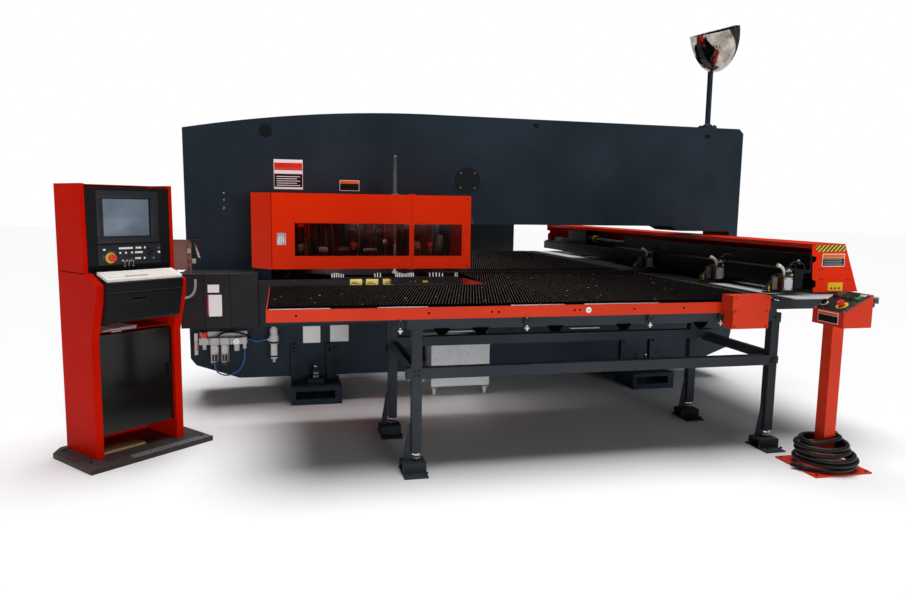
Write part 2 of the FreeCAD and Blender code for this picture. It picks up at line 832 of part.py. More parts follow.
def rear_table_frame():
    front = frame_depth - front_deck_back()
    mirrored = frame_depth - table_notch_y
    deck = prism_z([(table_left, mirrored), (table_notch_x, mirrored), (table_notch_x, front),
                    (table_right, front), (table_right, rear_table_end), (table_left, rear_table_end)],
                   deck_bottom, fascia_top)
    beam_z = (under_beam_top, deck_bottom)
    parts = [deck]
    for x in (table_left, back_leg_x[0] + 3, table_notch_x, middle_beam_x, table_right - 60):
        start = front if x >= table_notch_x else mirrored
        parts.append(block(x, x + 60, start, rear_table_end, *beam_z))
    parts.append(block(table_left, table_right, rear_table_end - 50, rear_table_end, *beam_z))
    parts.append(block(table_left, table_notch_x + 60, mirrored, mirrored + 50, *beam_z))
    parts.append(block(table_notch_x, table_right, front, front + 50, *beam_z))
    for x in (table_notch_x + 10, middle_beam_x, table_right - 50):
        parts.append(block(x, x + 40, frame_depth - 40, frame_depth - 4, throat_floor, under_beam_top))
    low = under_beam_top - under_beam_height
    ys = sorted({y for x, y in rear_leg_places()})
    beam_ends = (front_leg_x[0], front_leg_x[1] + leg_width)
    rail_z = (front_rail_top - rail_height, front_rail_top)
    for y in ys:
        parts.append(block(*beam_ends, y, y + leg_width, low, under_beam_top))
        parts.append(block(*beam_ends, y, y + leg_width, *rail_z))
    for x in front_leg_x:
        parts.append(block(x + 6, x + 6 + side_rail_width, ys[0], ys[1] + leg_width, *rail_z))
    for x, y in rear_leg_places():
        parts.append(leg(x, y, low))
    arm_z = (side_plate_top - 66, side_plate_top - 6)
    for y in (frame_depth + 30.0, rear_table_end - 60.0):
        parts.append(block(table_right, side_plate_right - 30, y, y + 50, *arm_z))
    return join(parts)


def centre_table():
    """Deck inside the frame between the carriage's two slide ways, with its own brushes."""
    y0 = saddle_offset + saddle_web / 2 + table_back_gap + 9
    y1 = frame_depth - y0
    left = turret_x + turret_r + 50
    rows = int((table_right - left) // brush_pitch)
    comb_left = table_right - rows * brush_pitch
    deck = block(left, side_plate_right, y0, y1, deck_bottom, fascia_top)
    comb = brush_comb(comb_left, table_right, y0, y1)
    parts = [deck, comb]
    for x in (left + 60, left + 710, left + 1410, side_plate_right - 120):
        parts.append(block(x, x + 60, y0 + 40, y1 - 40, throat_floor, deck_bottom))
    return join(parts)


def side_plates():
    """Smooth plates right of the brushes, before and behind the frame, with turned-down edges."""
    pieces = []
    spans = ((side_plate_front, front_deck_back()), (frame_depth - front_deck_back(), rear_table_end))
    for y0, y1 in spans:
        plate = block(table_right + 4, side_plate_right, y0, y1, side_plate_top - 6, side_plate_top)
        lip = block(side_plate_right - 3, side_plate_right, y0, y1, side_plate_top - 46,
                    side_plate_top - 6)
        pieces.append(join([plate, lip]))
    return group(pieces)


# ---------------------------------------------------------------- carriage
def carriage_beam():
    """Box beam with the front guide bar, screw housings, motor and the saddle that rides the frame."""
    right = beam_left + beam_width
    top = beam_bottom + beam_height
    tube = block(beam_left, right, carriage_front, carriage_end, beam_bottom, top)
    tube = tube.cut(block(beam_left + beam_wall, right - beam_wall, carriage_front - 1,
                          carriage_end + 1, beam_bottom + beam_wall, top - beam_wall))
    bar = block(bar_left, bar_left + bar_width, carriage_front + 60, bar_end, bar_bottom, bar_top)
    guide_x = bar_left + bar_width / 2
    guide = block(guide_x - rail_guide_width / 2, guide_x + rail_guide_width / 2,
                  carriage_front + 60, bar_end, bar_top, bar_top + rail_guide_height)
    parts = [tube, bar, guide]
    links = 6
    for k in range(links):
        y = carriage_front + 160 + k * (bar_end - carriage_front - 320) / (links - 1)
        parts.append(block(bar_left + bar_width, beam_left, y - 40, y + 40, bar_bottom + 8, bar_top - 20))
    near = block(screw_x - 40, beam_left + 70, carriage_front + 50, carriage_front + 90, top,
                 screw_z + 45)
    near = near.fuse(block(screw_x - 40, beam_left, carriage_front + 50, carriage_front + 90,
                           bar_top - 20, screw_z + 45))
    far_y = far_housing_start
    far_end = far_y + far_housing_length
    far = block(screw_x - 40, beam_left + 70, far_y, far_end, top, screw_z + 85)
    far = far.fuse(block(screw_x - 40, beam_left, far_y, far_end, bar_top - 20, screw_z + 85))
    nose = rod_along(Vector(screw_x, far_y - screw_nose, screw_z), Vector(screw_x, far_y, screw_z), 26)
    ring = rod_along(Vector(screw_x, far_y - screw_nose - screw_ring, screw_z),
                     Vector(screw_x, far_y - screw_nose, screw_z), 42)
    motor = block(screw_x - 38, screw_x + 60, far_end, far_end + motor_length, top, screw_z + 70)
    parts += [near, far, nose, ring, motor]
    for y in (saddle_offset, frame_depth - saddle_offset):
        web = block(beam_left + 10, right - 10, y - saddle_web / 2, y + saddle_web / 2,
                    throat_floor + y_rail_height + 24, beam_bottom)
        shoe = block(beam_left - 60, right + 60, y - 27, y + 27, throat_floor + 8,
                     throat_floor + y_rail_height + 24)
        groove = block(beam_left - 61, right + 61, y - y_rail_width / 2 - seat_gap,
                       y + y_rail_width / 2 + seat_gap, throat_floor, throat_floor + y_rail_height + seat_gap)
        parts += [web, shoe.cut(groove)]
    body = join(parts)
    bore = rod_along(Vector(screw_x, carriage_front + 40, screw_z),
                     Vector(screw_x, far_y + 110, screw_z), screw_r + fit_clearance)
    return body.cut(bore)


def end_cap_outline():
    """End cap of the carriage cover, with the stepped edge on its open side."""
    top = beam_bottom + beam_height
    offsets = [(-66, 140), (-36, 146), (187, 151), (312, -166), (-34, -168), (-38, -141),
               (-16, -129), (-20, -92), (-47, -84), (-53, 24), (-26, 40), (-26, 66), (-62, 70)]
    return [(beam_left + x, top + z) for x, z in offsets]


def carriage_cover():
    """Folded red cover over the beam: roof with a front lip, sloping back and two end caps."""
    t = cover_sheet
    lip, ridge, skirt = end_cap_outline()[1:4]
    foot = skirt[1]
    section = [(lip[0], lip[1] - 30), lip, ridge, skirt, (skirt[0] - 60, foot),
               (skirt[0] - 60, foot + t), (skirt[0] - 1.4 * t, foot + t), (ridge[0] - t, ridge[1] - t),
               (lip[0] + t, lip[1] - t), (lip[0] + t, lip[1] - 30)]
    skin = prism_y(section, carriage_front, carriage_end)
    near = prism_y(end_cap_outline(), carriage_front - t, carriage_front)
    far = prism_y(end_cap_outline(), carriage_end, carriage_end + t)
    return join([skin, near, far])


def x_screw():
    """Ground screw that drives the clamp carriage."""
    return rod_along(Vector(screw_x, carriage_front + 55, screw_z),
                     Vector(screw_x, far_housing_start + 105, screw_z), screw_r)


def clamp_bar():
    """Clamp carriage: front plate, flange over the guide, tall back panel, runners and nut."""
    x0 = clamp_bar_left
    flange_bottom = bar_top + rail_guide_height + 11
    panel_x = bar_left + bar_width - 25
    plate = block(x0, x0 + clamp_bar_plate, clamp_bar_front, clamp_bar_end, clamp_bar_bottom,
                  clamp_bar_top)
    flange = block(x0 + clamp_bar_plate, panel_x, clamp_bar_front, clamp_bar_end, flange_bottom,
                   clamp_bar_top)
    panel = block(panel_x - 8, panel_x, clamp_bar_front, clamp_bar_end, clamp_bar_top,
                  back_panel_top)
    parts = [plate, flange, panel]
    guide_x = bar_left + bar_width / 2
    for y in (clamp_bar_front + 180, -250.0, clamp_bar_end - 240):
        runner = block(guide_x - 28, guide_x + 28, y, y + 120, bar_top + 4, flange_bottom)
        slot = block(guide_x - rail_guide_width / 2 - seat_gap, guide_x + rail_guide_width / 2 + seat_gap,
                     y - 1, y + 121, bar_top, bar_top + rail_guide_height + seat_gap)
        parts.append(runner.cut(slot))
    nut = block(panel_x, screw_x + screw_r + 10, clamp_bar_front + 300, clamp_bar_front + 420,
                clamp_bar_top + 4, screw_z + 40)
    parts.append(nut)
    body = join(parts)
    return body.cut(rod_along(Vector(screw_x, clamp_bar_front + 290, screw_z),
                              Vector(screw_x, clamp_bar_front + 430, screw_z), screw_r + fit_clearance))


def clamp_body(y):
    """Clamp block on the bar with its lower jaw, hinge ears and air cylinder."""
    x1 = clamp_bar_left
    x0 = x1 - clamp_reach
    low = sheet_level + clamp_jaw_lift
    mouth = low + 9
    half = clamp_width / 2
    jaw = block(x0, x1 - 62, y - half, y + half, low, mouth)
    heel = block(x1 - 62, x1, y - half, y + half, low, low + clamp_body_height)
    pin_x, pin_z = clamp_pin()
    ears = []
    for side in (-1, 1):
        inner = y + side * (half - 10)
        outer = y + side * half
        ears.append(prism_y([(x1 - 62, low + clamp_ear_rise[0]), (x1 - 62, low + clamp_ear_rise[2]),
                             (pin_x - 18, low + clamp_ear_rise[1]), (pin_x - 14, pin_z - 16)],
                            min(inner, outer), max(inner, outer)))
    pin = rod_along(Vector(pin_x, y - half, pin_z), Vector(pin_x, y + half, pin_z), clamp_pin_r)
    cylinder = block(x1 - 66, x1 - 2, y - half - 36, y - half, low + clamp_cylinder_rise[0],
                     clamp_cylinder_top())
    pad = block(x0 - 6, x0, y - 10, y + 10, low, mouth)
    return join([jaw, heel, pin, cylinder, pad] + ears)


def clamp_pin():
    return clamp_bar_left - 78, sheet_level + clamp_jaw_lift + clamp_pin_rise


def clamp_cylinder_top():
    return sheet_level + clamp_jaw_lift + clamp_cylinder_rise[1]


def clamp_jaw(y):
    """Upper jaw: a lever on the clamp's pin, open by its own mouth at rest."""
    x1 = clamp_bar_left
    x0 = x1 - clamp_reach
    mouth = sheet_level + clamp_jaw_lift + 9
    half = clamp_width / 2 - 10.5
    pin_x, pin_z = clamp_pin()
    outline = [(x0 + 2, mouth + clamp_jaw_open), (x0 + 30, mouth + clamp_jaw_open),
               (x0 + 52, mouth + 24), (pin_x + 10, pin_z - 16), (pin_x + 12, pin_z + 14),
               (pin_x - 12, pin_z + 30), (x0 + 26, mouth + 42), (x0 + 2, mouth + 16)]
    arm = prism_y(outline, y - half, y + half)
    return arm.cut(rod_along(Vector(pin_x, y - half - 1, pin_z), Vector(pin_x, y + half + 1, pin_z),
                             clamp_pin_r + fit_clearance))


def hose(points, r, sides=6):
    """Hose along straight runs joined by tangent arcs, with a many-sided section."""
    path = rounded_path(points)
    start = path.Edges[0]
    direction = start.tangentAt(start.FirstParameter)
    section = Part.Wire(Part.makePolygon(ring_points(points[0], direction, r, sides)))
    return path.makePipeShell([section], True, True)


def ring_points(centre, direction, r, sides):
    direction = direction.normalize()
    side = Vector(0, 0, 1).cross(direction)
    if side.Length < 0.1:
        side = Vector(1, 0, 0).cross(direction)
    side.normalize()
    up = direction.cross(side)
    ring = []
    for k in range(sides):
        angle = 2 * math.pi * (k + 0.5) / sides
        ring.append(centre + side * (r * math.cos(angle)) + up * (r * math.sin(angle)))
    return ring + [ring[0]]


def rounded_path(points):
    """Straight runs with an arc of 0.45 of the shorter run at each inner point."""
    edges = []
    last = points[0]
    for before, at, after in zip(points, points[1:], points[2:]):
        back = before - at
        ahead = after - at
        reach = 0.45 * min(back.Length, ahead.Length)
        back.normalize()
        ahead.normalize()
        turn = math.pi - back.getAngle(ahead)
        if turn < 1e-4:
            continue
        start = at + back * reach
        end = at + ahead * reach
        radius = reach / math.tan(turn / 2)
        bisector = (back + ahead).normalize()
        centre_distance = radius / math.cos(turn / 2)
        middle = at + bisector * (centre_distance - radius)
        edges.append(Part.LineSegment(last, start).toShape())
        edges.append(Part.Arc(start, middle, end).toShape())
        bend_radii.append(radius)
        last = end
    edges.append(Part.LineSegment(last, points[-1]).toShape())
    return Part.Wire(edges)


bend_radii = []


def clamp_hoses():
    """Air hose of each clamp: from the elbow on the cylinder up, over and down to the bar."""
    pieces = []
    for y in clamp_y:
        x = clamp_bar_left
        front = y - clamp_width / 2 - 18
        top = clamp_cylinder_top()
        points = [
            Vector(x - 34, front, top),
            Vector(x - 34, front, top + 40),
            Vector(x - 22, front, top + 80),
            Vector(x + 12, front - 14, top + 105),
            Vector(x + 50, front - 38, top + 93),
            Vector(x + 58, front - 46, top + 67),
            Vector(x + 58, front - 46, clamp_bar_top),
        ]
        pieces.append(hose(points, clamp_hose_r))
    return group(pieces)


# ---------------------------------------------------------------- mirror
def mirror_pole():
    """Pole on the frame's top with the ball stud that carries the mirror."""
    base = block(mirror_pole_x - 60, mirror_pole_x + 60, 4, 100, mirror_foot - 26, mirror_foot + 4)
    pole = rod(mirror_pole_x, mirror_pole_y, mirror_foot + 4, mirror_pivot_z + 16, mirror_pole_r)
    pivot = mirror_pivot()
    swivel = rod_along(pivot - Vector(mirror_pole_r + 16, 0, 0), pivot + Vector(mirror_pole_r + 16, 0, 0),
                       mirror_pin_r)
    return join([base, pole, swivel])


def mirror_pivot():
    return Vector(mirror_pole_x, mirror_pole_y, mirror_pivot_z)


def bowl(wide, deep):
    """Solid bowl of conical bands: its rim lies level and its depth hangs below it."""
    bands = 6
    profile = [Vector(0, 0, 0)]
    for k in range(bands + 1):
        angle = 0.5 * math.pi * k / bands
        profile.append(Vector(wide * math.cos(angle), 0, -deep * math.sin(angle)))
    profile[-1].x = 0
    return face_of(profile).revolve(Vector(0, 0, 0), Vector(0, 0, 1), 360)


def mirror_turned(shape):
    """Turns a shape from the mirror's own frame to its place on the pole."""
    turned = shape.copy()
    turned.rotate(Vector(0, 0, 0), Vector(1, 0, 0), mirror_pitch_deg)
    turned.rotate(Vector(0, 0, 0), Vector(0, 1, 0), -mirror_roll_deg)
    turned.translate(mirror_centre)
    return turned


def convex_mirror():
    """Half-bowl safety mirror: shell with a rim flange, back plate and a fork on the pole's pin."""
    full = bowl(mirror_r, mirror_drop)
    front = block(-400, 400, -400, 0, -500, 1)
    shell = full.cut(bowl(mirror_r - mirror_wall, mirror_drop - mirror_wall)).common(front)
    plate = full.common(block(-400, 400, -mirror_wall, 0, -500, 1))
    rim = block(-mirror_r, mirror_r, -14, 10, -mirror_wall, 0)
    whole = mirror_turned(join([shell, plate, rim]))
    pivot = mirror_pivot()
    reach = mirror_pole_r + 10
    fork = block(pivot.x - reach, pivot.x + reach, pivot.y - 105, pivot.y + 18, pivot.z - 16, pivot.z + 16)
    fork = fork.cut(block(pivot.x - reach + 8, pivot.x + reach - 8, pivot.y - 40, pivot.y + 19,
                          pivot.z - 17, pivot.z + 17))
    fork = fork.cut(mirror_turned(block(-400, 400, -500, -mirror_wall / 2, -500, 100)))
    fork = fork.cut(rod_along(pivot - Vector(60, 0, 0), pivot + Vector(60, 0, 0),
                              mirror_pin_r + fit_clearance))
    return join([whole, fork])


# ---------------------------------------------------------------- air preparation
def air_unit():
    """Filters, regulator and valve on one manifold, with the lubricator beside it."""
    y = air_unit_y
    z = air_unit_z
    back = block(80, 420, -12, 0, z - 40, z + 50)
    arms = [block(x, x + 24, y + 24, -12, z - 14, z + 14) for x in (150.0, 330.0)]
    manifold = block(92, 420, y - 24, y + 24, z - 24, z + 24)
    parts = [back, manifold] + arms
    for x in (195.0, 266.0):
        parts.append(rod(x, y, z - 168, z - 24, 25))
    parts.append(rod(350, y, z - 74, z - 24, 20))
    parts.append(rod_along(Vector(350, y - 24, z), Vector(350, y - 44, z), 24))
    parts.append(rod(125, y, z - 60, z - 24, 13))
    parts.append(rod(405, y, z - 60, z - 24, 13))
    valve = rod(125, y, z + 24, z + 30, 12)
    parts.append(valve)
    unit = join(parts)
    lub_x = lubricator_x
    lub = [block(lub_x - 20, lub_x + 20, y + 20, 0, 455, 495), rod(lub_x, y, 300, 326, 9),
           rod_along(Vector(lub_x - 44, y, z), Vector(lub_x, y, z), 9),
           rod(lub_x, y, 326, 440, 24), rod(lub_x, y, 440, 500, 34), rod(lub_x, y, 500, 556, 27)]
    tester = [rod(69, y, 372, 530, 13), block(56, 82, y + 12, 0, 440, 470)]
    return group([unit, join(lub), join(tester)])


def air_valve_knob():
    """Red knob of the shut-off valve."""
    return rod(125, air_unit_y, air_unit_z + 30 + seat_gap, air_unit_z + 66, 25)


def air_hoses():
    """Two sagging air lines between the filters, the lubricator and the frame."""
    y = air_unit_y
    z = air_unit_z
    first = [Vector(195, y, z - 168), Vector(195, y, z - 204), Vector(216, y - 4, z - 240),
             Vector(262, y - 8, z - 258), Vector(318, y - 8, z - 250), Vector(366, y - 6, z - 222),
             Vector(396, y - 2, z - 170), Vector(405, y, z - 120), Vector(405, y, z - 60)]
    second = [Vector(420, y, z + 6), Vector(450, y, z + 6), Vector(478, y - 2, z - 10),
              Vector(508, y - 2, z - 14), Vector(lubricator_x - 70, y, z),
              Vector(lubricator_x - 44, y, z)]
    return group([hose(first, air_hose_r), hose(second, air_hose_r)])


# ---------------------------------------------------------------- console
def console_side_outline():
    front = console_foot_front
    base = console_base_thickness
    return [(console_back, base), (front, base), (front, 700), (front - 62, 908), (front - 78, 1014),
            (front + 43, 1072), (front + 48, console_height), (console_back, console_height)]


def console_body():
    """Red folded side frames joined by the back panel, roof, inner shelf and floor tray."""
    left = console_left
    right = console_left + console_width
    outline = console_side_outline()
    sides = []
    for a in (left, right - console_side):
        sides.append(prism_x(outline, a, a + console_side))
    front = console_foot_front
    head_cut = 20.0
    trimmed = []
    for side, a in zip(sides, (left + console_side - head_cut, right - console_side)):
        trimmed.append(side.cut(block(a, a + head_cut, 0, front + 40 + console_head_depth, 1074,
                                      console_height + 1)))
    inner = (left + console_side, right - console_side)
    back = block(inner[0], inner[1], console_back - console_panel, console_back,
                 console_base_thickness, console_height)
    roof = block(left + 25, right - 25, front + 40 + console_head_depth, console_back, console_height - console_panel,
                 console_height)
    shelf = block(inner[0], inner[1], front + 40, console_back - console_panel, 734, 738)
    return console_place(join(trimmed + [back, roof, shelf] + console_hinge_plates()))


def console_base():
    wide, deep = console_base_size
    cut = 78.0
    plate = prism_z([(0, 0), (wide, 0), (wide, deep), (cut, deep), (0, deep - cut)], 0,
                    console_base_thickness)
    return console_place(plate)


def console_head():
    """Black head with the screen's recess, the control panel, keyboard shelf and drawer front."""
    left = console_left + console_side - 20
    right = console_left + console_width - console_side + 20
    face = console_foot_front + 40
    head = prism_x([(face, 1110), (face, 1545), (face + console_head_depth, 1545),
                    (face + console_head_depth, 1074), (face + 17, 1074)], left, right)
    recess = block(215, 500, face - 1, face + 14, 1268, 1484)
    head = head.cut(recess)
    lower_left = console_left + console_side
    lower_right = console_left + console_width - console_side
    shelf = prism_x([(face + 40, 1074), (face - 2, 1074), (18, 1026), (18, 1006), (62, 815), (76, 800),
                     (face + 40, 800)], lower_left, lower_right)
    slot = block(300, 372, 20, 46, 925, 933)
    a, z = console_estop_place
    stem_bore = rod_along(Vector(a, face - 1, z), Vector(a, face + press_bore_depth, z),
                          stem_r + fit_clearance)
    return console_place(group([head.cut(stem_bore), shelf.cut(slot)]))


def keyboard():
    """White keyboard lying on the sloping shelf."""
    slope = math.atan2(1074 - 1026, console_foot_front + 38 - 18)
    board = block(0, 450, 0, 112, 0, 16)
    keys = block(14, 436, 12, 98, 16, 20)
    piece = join([board, keys])
    piece.rotate(Vector(0, 0, 0), Vector(1, 0, 0), math.degrees(slope))
    piece.translate(Vector(150, 32, 1026 + 14 * math.tan(slope) + seat_gap))
    return console_place(piece)


def console_hinge():
    """Hinge line of the console door in the console's own frame."""
    half = console_door_thickness / 2
    return console_left + console_side + half + 3.5, console_foot_front + console_door_set_back + half


def console_door():
    a, b = console_hinge()
    half = console_door_thickness / 2
    right = console_left + console_width - console_side - 2
    panel = block(a - half, right, b - half, b + half, console_door_bottom, console_door_top)
    grip = block(right - 34, right - 16, b - half - 16, b - half, 420, 500)
    pins = [rod(a, b, console_door_top, console_door_top + hinge_pin_length, hinge_pin_r),
            rod(a, b, console_door_bottom - hinge_pin_length, console_door_bottom, hinge_pin_r)]
    return console_place(join([panel, grip] + pins))


def console_hinge_plates():
    """Plates over and under the console door that hold its pins."""
    a, b = console_hinge()
    wall = console_left + console_side
    plates = []
    for z in (console_door_top + seat_gap, console_door_bottom - seat_gap - hinge_plate):
        plate = block(wall, a + 10, b - 10, b + 10, z, z + hinge_plate)
        plates.append(plate.cut(rod(a, b, z - 1, z + hinge_plate + 1, hinge_pin_r + fit_clearance)))
    return plates


def console_estop():
    a, z = console_estop_place
    b = console_foot_front + 40
    stem = rod_along(Vector(a, b + press_depth, z), Vector(a, b - 14, z), stem_r)
    cap = rod_along(Vector(a, b - 14, z), Vector(a, b - 28, z), 21)
    return console_place(join([stem, cap]))


# ---------------------------------------------------------------- pedestal
def pedestal_stand():
    wide, deep, thick = pedestal_plate
    x0, y0 = pedestal_x - wide / 2, pedestal_y - deep / 2
    plate = block(x0, x0 + wide, y0, y0 + deep, 0, thick)
    holes = [rod(x, y, -1, thick + 1, 6) for x in (x0 + 25, x0 + wide - 25)
             for y in (y0 + 25, y0 + deep - 25)]
    half = pedestal_post / 2
    post = block(pedestal_x - half, pedestal_x + half, pedestal_y - half, pedestal_y + half, thick,
                 pedestal_box_bottom)
    start = cable_exit()
    elbow = block(pedestal_x + half, start.x + 20, start.y, start.y + 42, start.z - 20, start.z + 20)
    return join([plate.cut(group(holes)), post, elbow])


def slope_angle():
    return math.atan2(pedestal_box_back_top - pedestal_box_front_top, pedestal_box_depth)


def pedestal_box_corner():
    return pedestal_x - 45.0, pedestal_y - pedestal_box_width / 2


def on_slope(along, y, out):
    """Point on the box's sloping top: along the slope from its low edge, and out from it."""
    x0, y0 = pedestal_box_corner()
    angle = slope_angle()
    return Vector(x0 + along * math.cos(angle) - out * math.sin(angle), y,
                  pedestal_box_front_top + along * math.sin(angle) + out * math.cos(angle))


def pedestal_box():
    x0, y0 = pedestal_box_corner()
    x1, y1 = x0 + pedestal_box_depth, y0 + pedestal_box_width
    body = prism_y([(x0, pedestal_box_bottom), (x1, pedestal_box_bottom), (x1, pedestal_box_back_top),
                    (x0, pedestal_box_front_top)], y0, y1)
    caps = []
    for along, y in ((143.0, -2124.0), (145.0, -2069.0), (151.0, -1995.0)):
        caps.append(rod_along(on_slope(along, y, 0), on_slope(along, y, 9), pedestal_button_r + 3))
    ring = rod_along(on_slope(*estop_place, 0), on_slope(*estop_place, 4), pedestal_mushroom_r + 10)
    bores = [rod_along(on_slope(*estop_place, 5), on_slope(*estop_place, -press_bore_depth),
                       stem_r + fit_clearance),
             rod_along(on_slope(*start_place, 1), on_slope(*start_place, -press_bore_depth),
                       start_button_r + fit_clearance)]
    return join([body, ring] + caps).cut(group(bores))


def pedestal_estop():
    return join([rod_along(on_slope(*estop_place, -press_depth), on_slope(*estop_place, 18), stem_r),
                 rod_along(on_slope(*estop_place, 18), on_slope(*estop_place, 32),
                           pedestal_mushroom_r)])


def pedestal_start_button():
    return rod_along(on_slope(*start_place, -press_depth), on_slope(*start_place, 12), start_button_r)


def pedestal_selector():
    knob = rod_along(on_slope(*selector_place, seat_gap), on_slope(*selector_place, 12), 17)
    half_width = 5.0
    grip = Part.makeBox(30, 2 * half_width, 12, Vector(-15, -half_width, 0))
    grip.rotate(Vector(0, 0, 0), Vector(0, 1, 0), -math.degrees(slope_angle()))
    grip.translate(on_slope(*selector_place, 12))
    return join([knob, grip])


# ---------------------------------------------------------------- pedestal cable
def cable_exit():
    """Face of the elbow gland on the post, where the cable starts."""
    return Vector(pedestal_x + pedestal_post / 2 + 24, pedestal_y - 4, 182.0)


def coil_point(angle):
    """Centre line of the coil: loose turns that shrink, rise and drift as they stack."""
    turn = angle / (2 * math.pi)
    share = turn / coil_turns
    radius = coil_r_first + (coil_r_last - coil_r_first) * share
    drift_x = -8.0 + 13.0 * math.sin(1.3 * turn)
    drift_y = -12.0 + 11.0 * math.cos(1.6 * turn)
    rise = pedestal_plate[2] + cable_d / 2 + 5.0 + coil_pitch * turn
    lean = -2.0 * share * math.sin(angle + 0.5)
    return Vector(pedestal_x + drift_x + radius * math.cos(angle + coil_start),
                  pedestal_y + drift_y + radius * math.sin(angle + coil_start), rise + lean)


coil_start = math.radians(-150.0)


def tangent_at(angle):
    step = 1e-3
    return (coil_point(angle + step) - coil_point(angle - step)).normalize()


def biarc(p0, t0, p1, t1):
    """Two tangent arcs between two points with given directions."""
    run = p1 - p0
    both = t0 + t1
    even = 2 * (1 - t0.dot(t1))
    lean = run.dot(both)
    if even > 1e-9:
        reach = (-lean + math.sqrt(lean * lean + even * run.dot(run))) / even
    else:
        reach = run.dot(run) / (4 * run.dot(t1))
    joint = (p0 + t0 * reach + p1 - t1 * reach) * 0.5
    return [arc_from(p0, t0, joint), arc_from(p1, t1 * -1, joint, True)]


def arc_from(start, direction, end, reverse=False):
    """Arc that leaves start along direction and ends at end."""
    run = end - start
    across = run - direction * run.dot(direction)
    if across.Length < 1e-6:
        line = Part.LineSegment(end, start) if reverse else Part.LineSegment(start, end)
        return line.toShape()
    half_turn = math.atan2(across.Length, run.dot(direction))
    across.normalize()
    radius = run.Length / (2 * math.sin(half_turn))
    centre = start + across * radius
    middle = centre - across * (radius * math.cos(half_turn)) + direction * (radius * math.sin(half_turn))
    arc = Part.Arc(end, middle, start) if reverse else Part.Arc(start, middle, end)
    return arc.toShape()


def cable_coil():
    """One unbroken cable: out of the gland, round the post in loose turns, ends beside the plate."""
    step = math.pi / 2
    total = coil_turns * 2 * math.pi
    stations = [(coil_point(k * step), tangent_at(k * step)) for k in range(int(round(total / step)) + 1)]
    edges = []
    for (p0, t0), (p1, t1) in zip(stations, stations[1:]):
        edges += biarc(p0, t0, p1, t1)
    top, top_direction = stations[-1]
    exit_point = cable_exit()
    inward = Vector(0, 1, 0)
    lead_in = exit_point - inward * cable_d
    lead = biarc(top, top_direction, lead_in, inward)
    lead.append(Part.LineSegment(lead_in, exit_point).toShape())
    edges += lead
    first, first_direction = stations[0]
    tail_end = first - first_direction * (cable_d * 1.2)
    edges.insert(0, Part.LineSegment(tail_end, first).toShape())
    path = Part.Wire(edges)
    section = Part.Wire(Part.makePolygon(ring_points(tail_end, first_direction, cable_d / 2, coil_sides)))
    solid = path.makePipeShell([section], True, False)
    report_coil(path)
    return solid


def report_coil(path):
    """Prints the cable's length, its tightest turn and its least gap to itself."""
    points = []
    for edge in path.Edges:
        count = max(2, int(edge.Length // 12))
        points += edge.discretize(count)[:-1]
    along = [0.0]
    for a, b in zip(points, points[1:]):
        along.append(along[-1] + (b - a).Length)
    least = 1e9
    for i in range(0, len(points), 2):
        for j in range(i + 1, len(points)):
            if along[j] - along[i] > 6 * cable_d:
                least = min(least, (points[i] - points[j]).Length)
    radii = [edge.Curve.Radius for edge in path.Edges if hasattr(edge.Curve, "Radius")]
    print("cable length", round(path.Length), "tightest radius", round(min(radii), 1),
          "least gap", round(least - cable_d, 2))


def cable_connector():
    """Round multi-pole connector on the cable's end, resting on the floor plate."""
    first, direction = coil_point(0), tangent_at(0)
    face = first - direction * (cable_d * 1.2)
    back = direction * -1
    shell = rod_along(face, face + back * 70, cable_d / 2)
    sleeve = rod_along(face + back * 18, face + back * 60, cable_d / 2 + 1.2)
    return join([shell, sleeve])


# ---------------------------------------------------------------- scrap bin, cabinet, side panel
def scrap_bin():
    """Galvanised open bin on four fixed castors, half inside the frame's scrap opening."""
    x0, x1 = bin_left, bin_left + bin_width
    y0, y1 = bin_front, bin_front + bin_depth
    tub = block(x0, x1, y0, y1, bin_bottom, bin_top)
    tub = tub.cut(block(x0 + bin_wall, x1 - bin_wall, y0 + bin_wall, y1 - bin_wall,
                        bin_bottom + bin_wall, bin_top + 1))
    parts = [tub]
    for x in (x0 + 14, x1 - 44):
        for y in (y0 + 26, y1 - 96):
            fork = block(x, x + 30, y, y + 60, 40, bin_bottom)
            fork = fork.cut(block(x + 5, x + 25, y - 1, y + 61, 39, bin_bottom - 6))
            wheel = rod_along(Vector(x + 5, y + 30, 30), Vector(x + 25, y + 30, 30), 30)
            parts += [fork, wheel]
    return join(parts)


def electrical_cabinet():
    """Control cabinet behind the rear table: plinth, body, two doors' panels and a lid."""
    x0, x1 = cabinet_left, cabinet_right
    y0, y1 = cabinet_front, cabinet_front + cabinet_depth
    plinth = block(x0 + 15, x1 - 15, y0 + 15, y1 - 15, 0, cabinet_plinth)
    body = block(x0, x1, y0, y1 - 18, cabinet_plinth, cabinet_height - 20)
    lid = block(x0 - 8, x1 + 8, y0 - 8, y1 + 8, cabinet_height - 20, cabinet_height)
    middle = (x0 + x1) / 2
    doors = [block(a, b, y1 - 18, y1, cabinet_plinth + 12, cabinet_height - 32)
             for a, b in ((x0 + 6, middle - 2), (middle + 2, x1 - 6))]
    return join([plinth, body, lid] + doors)


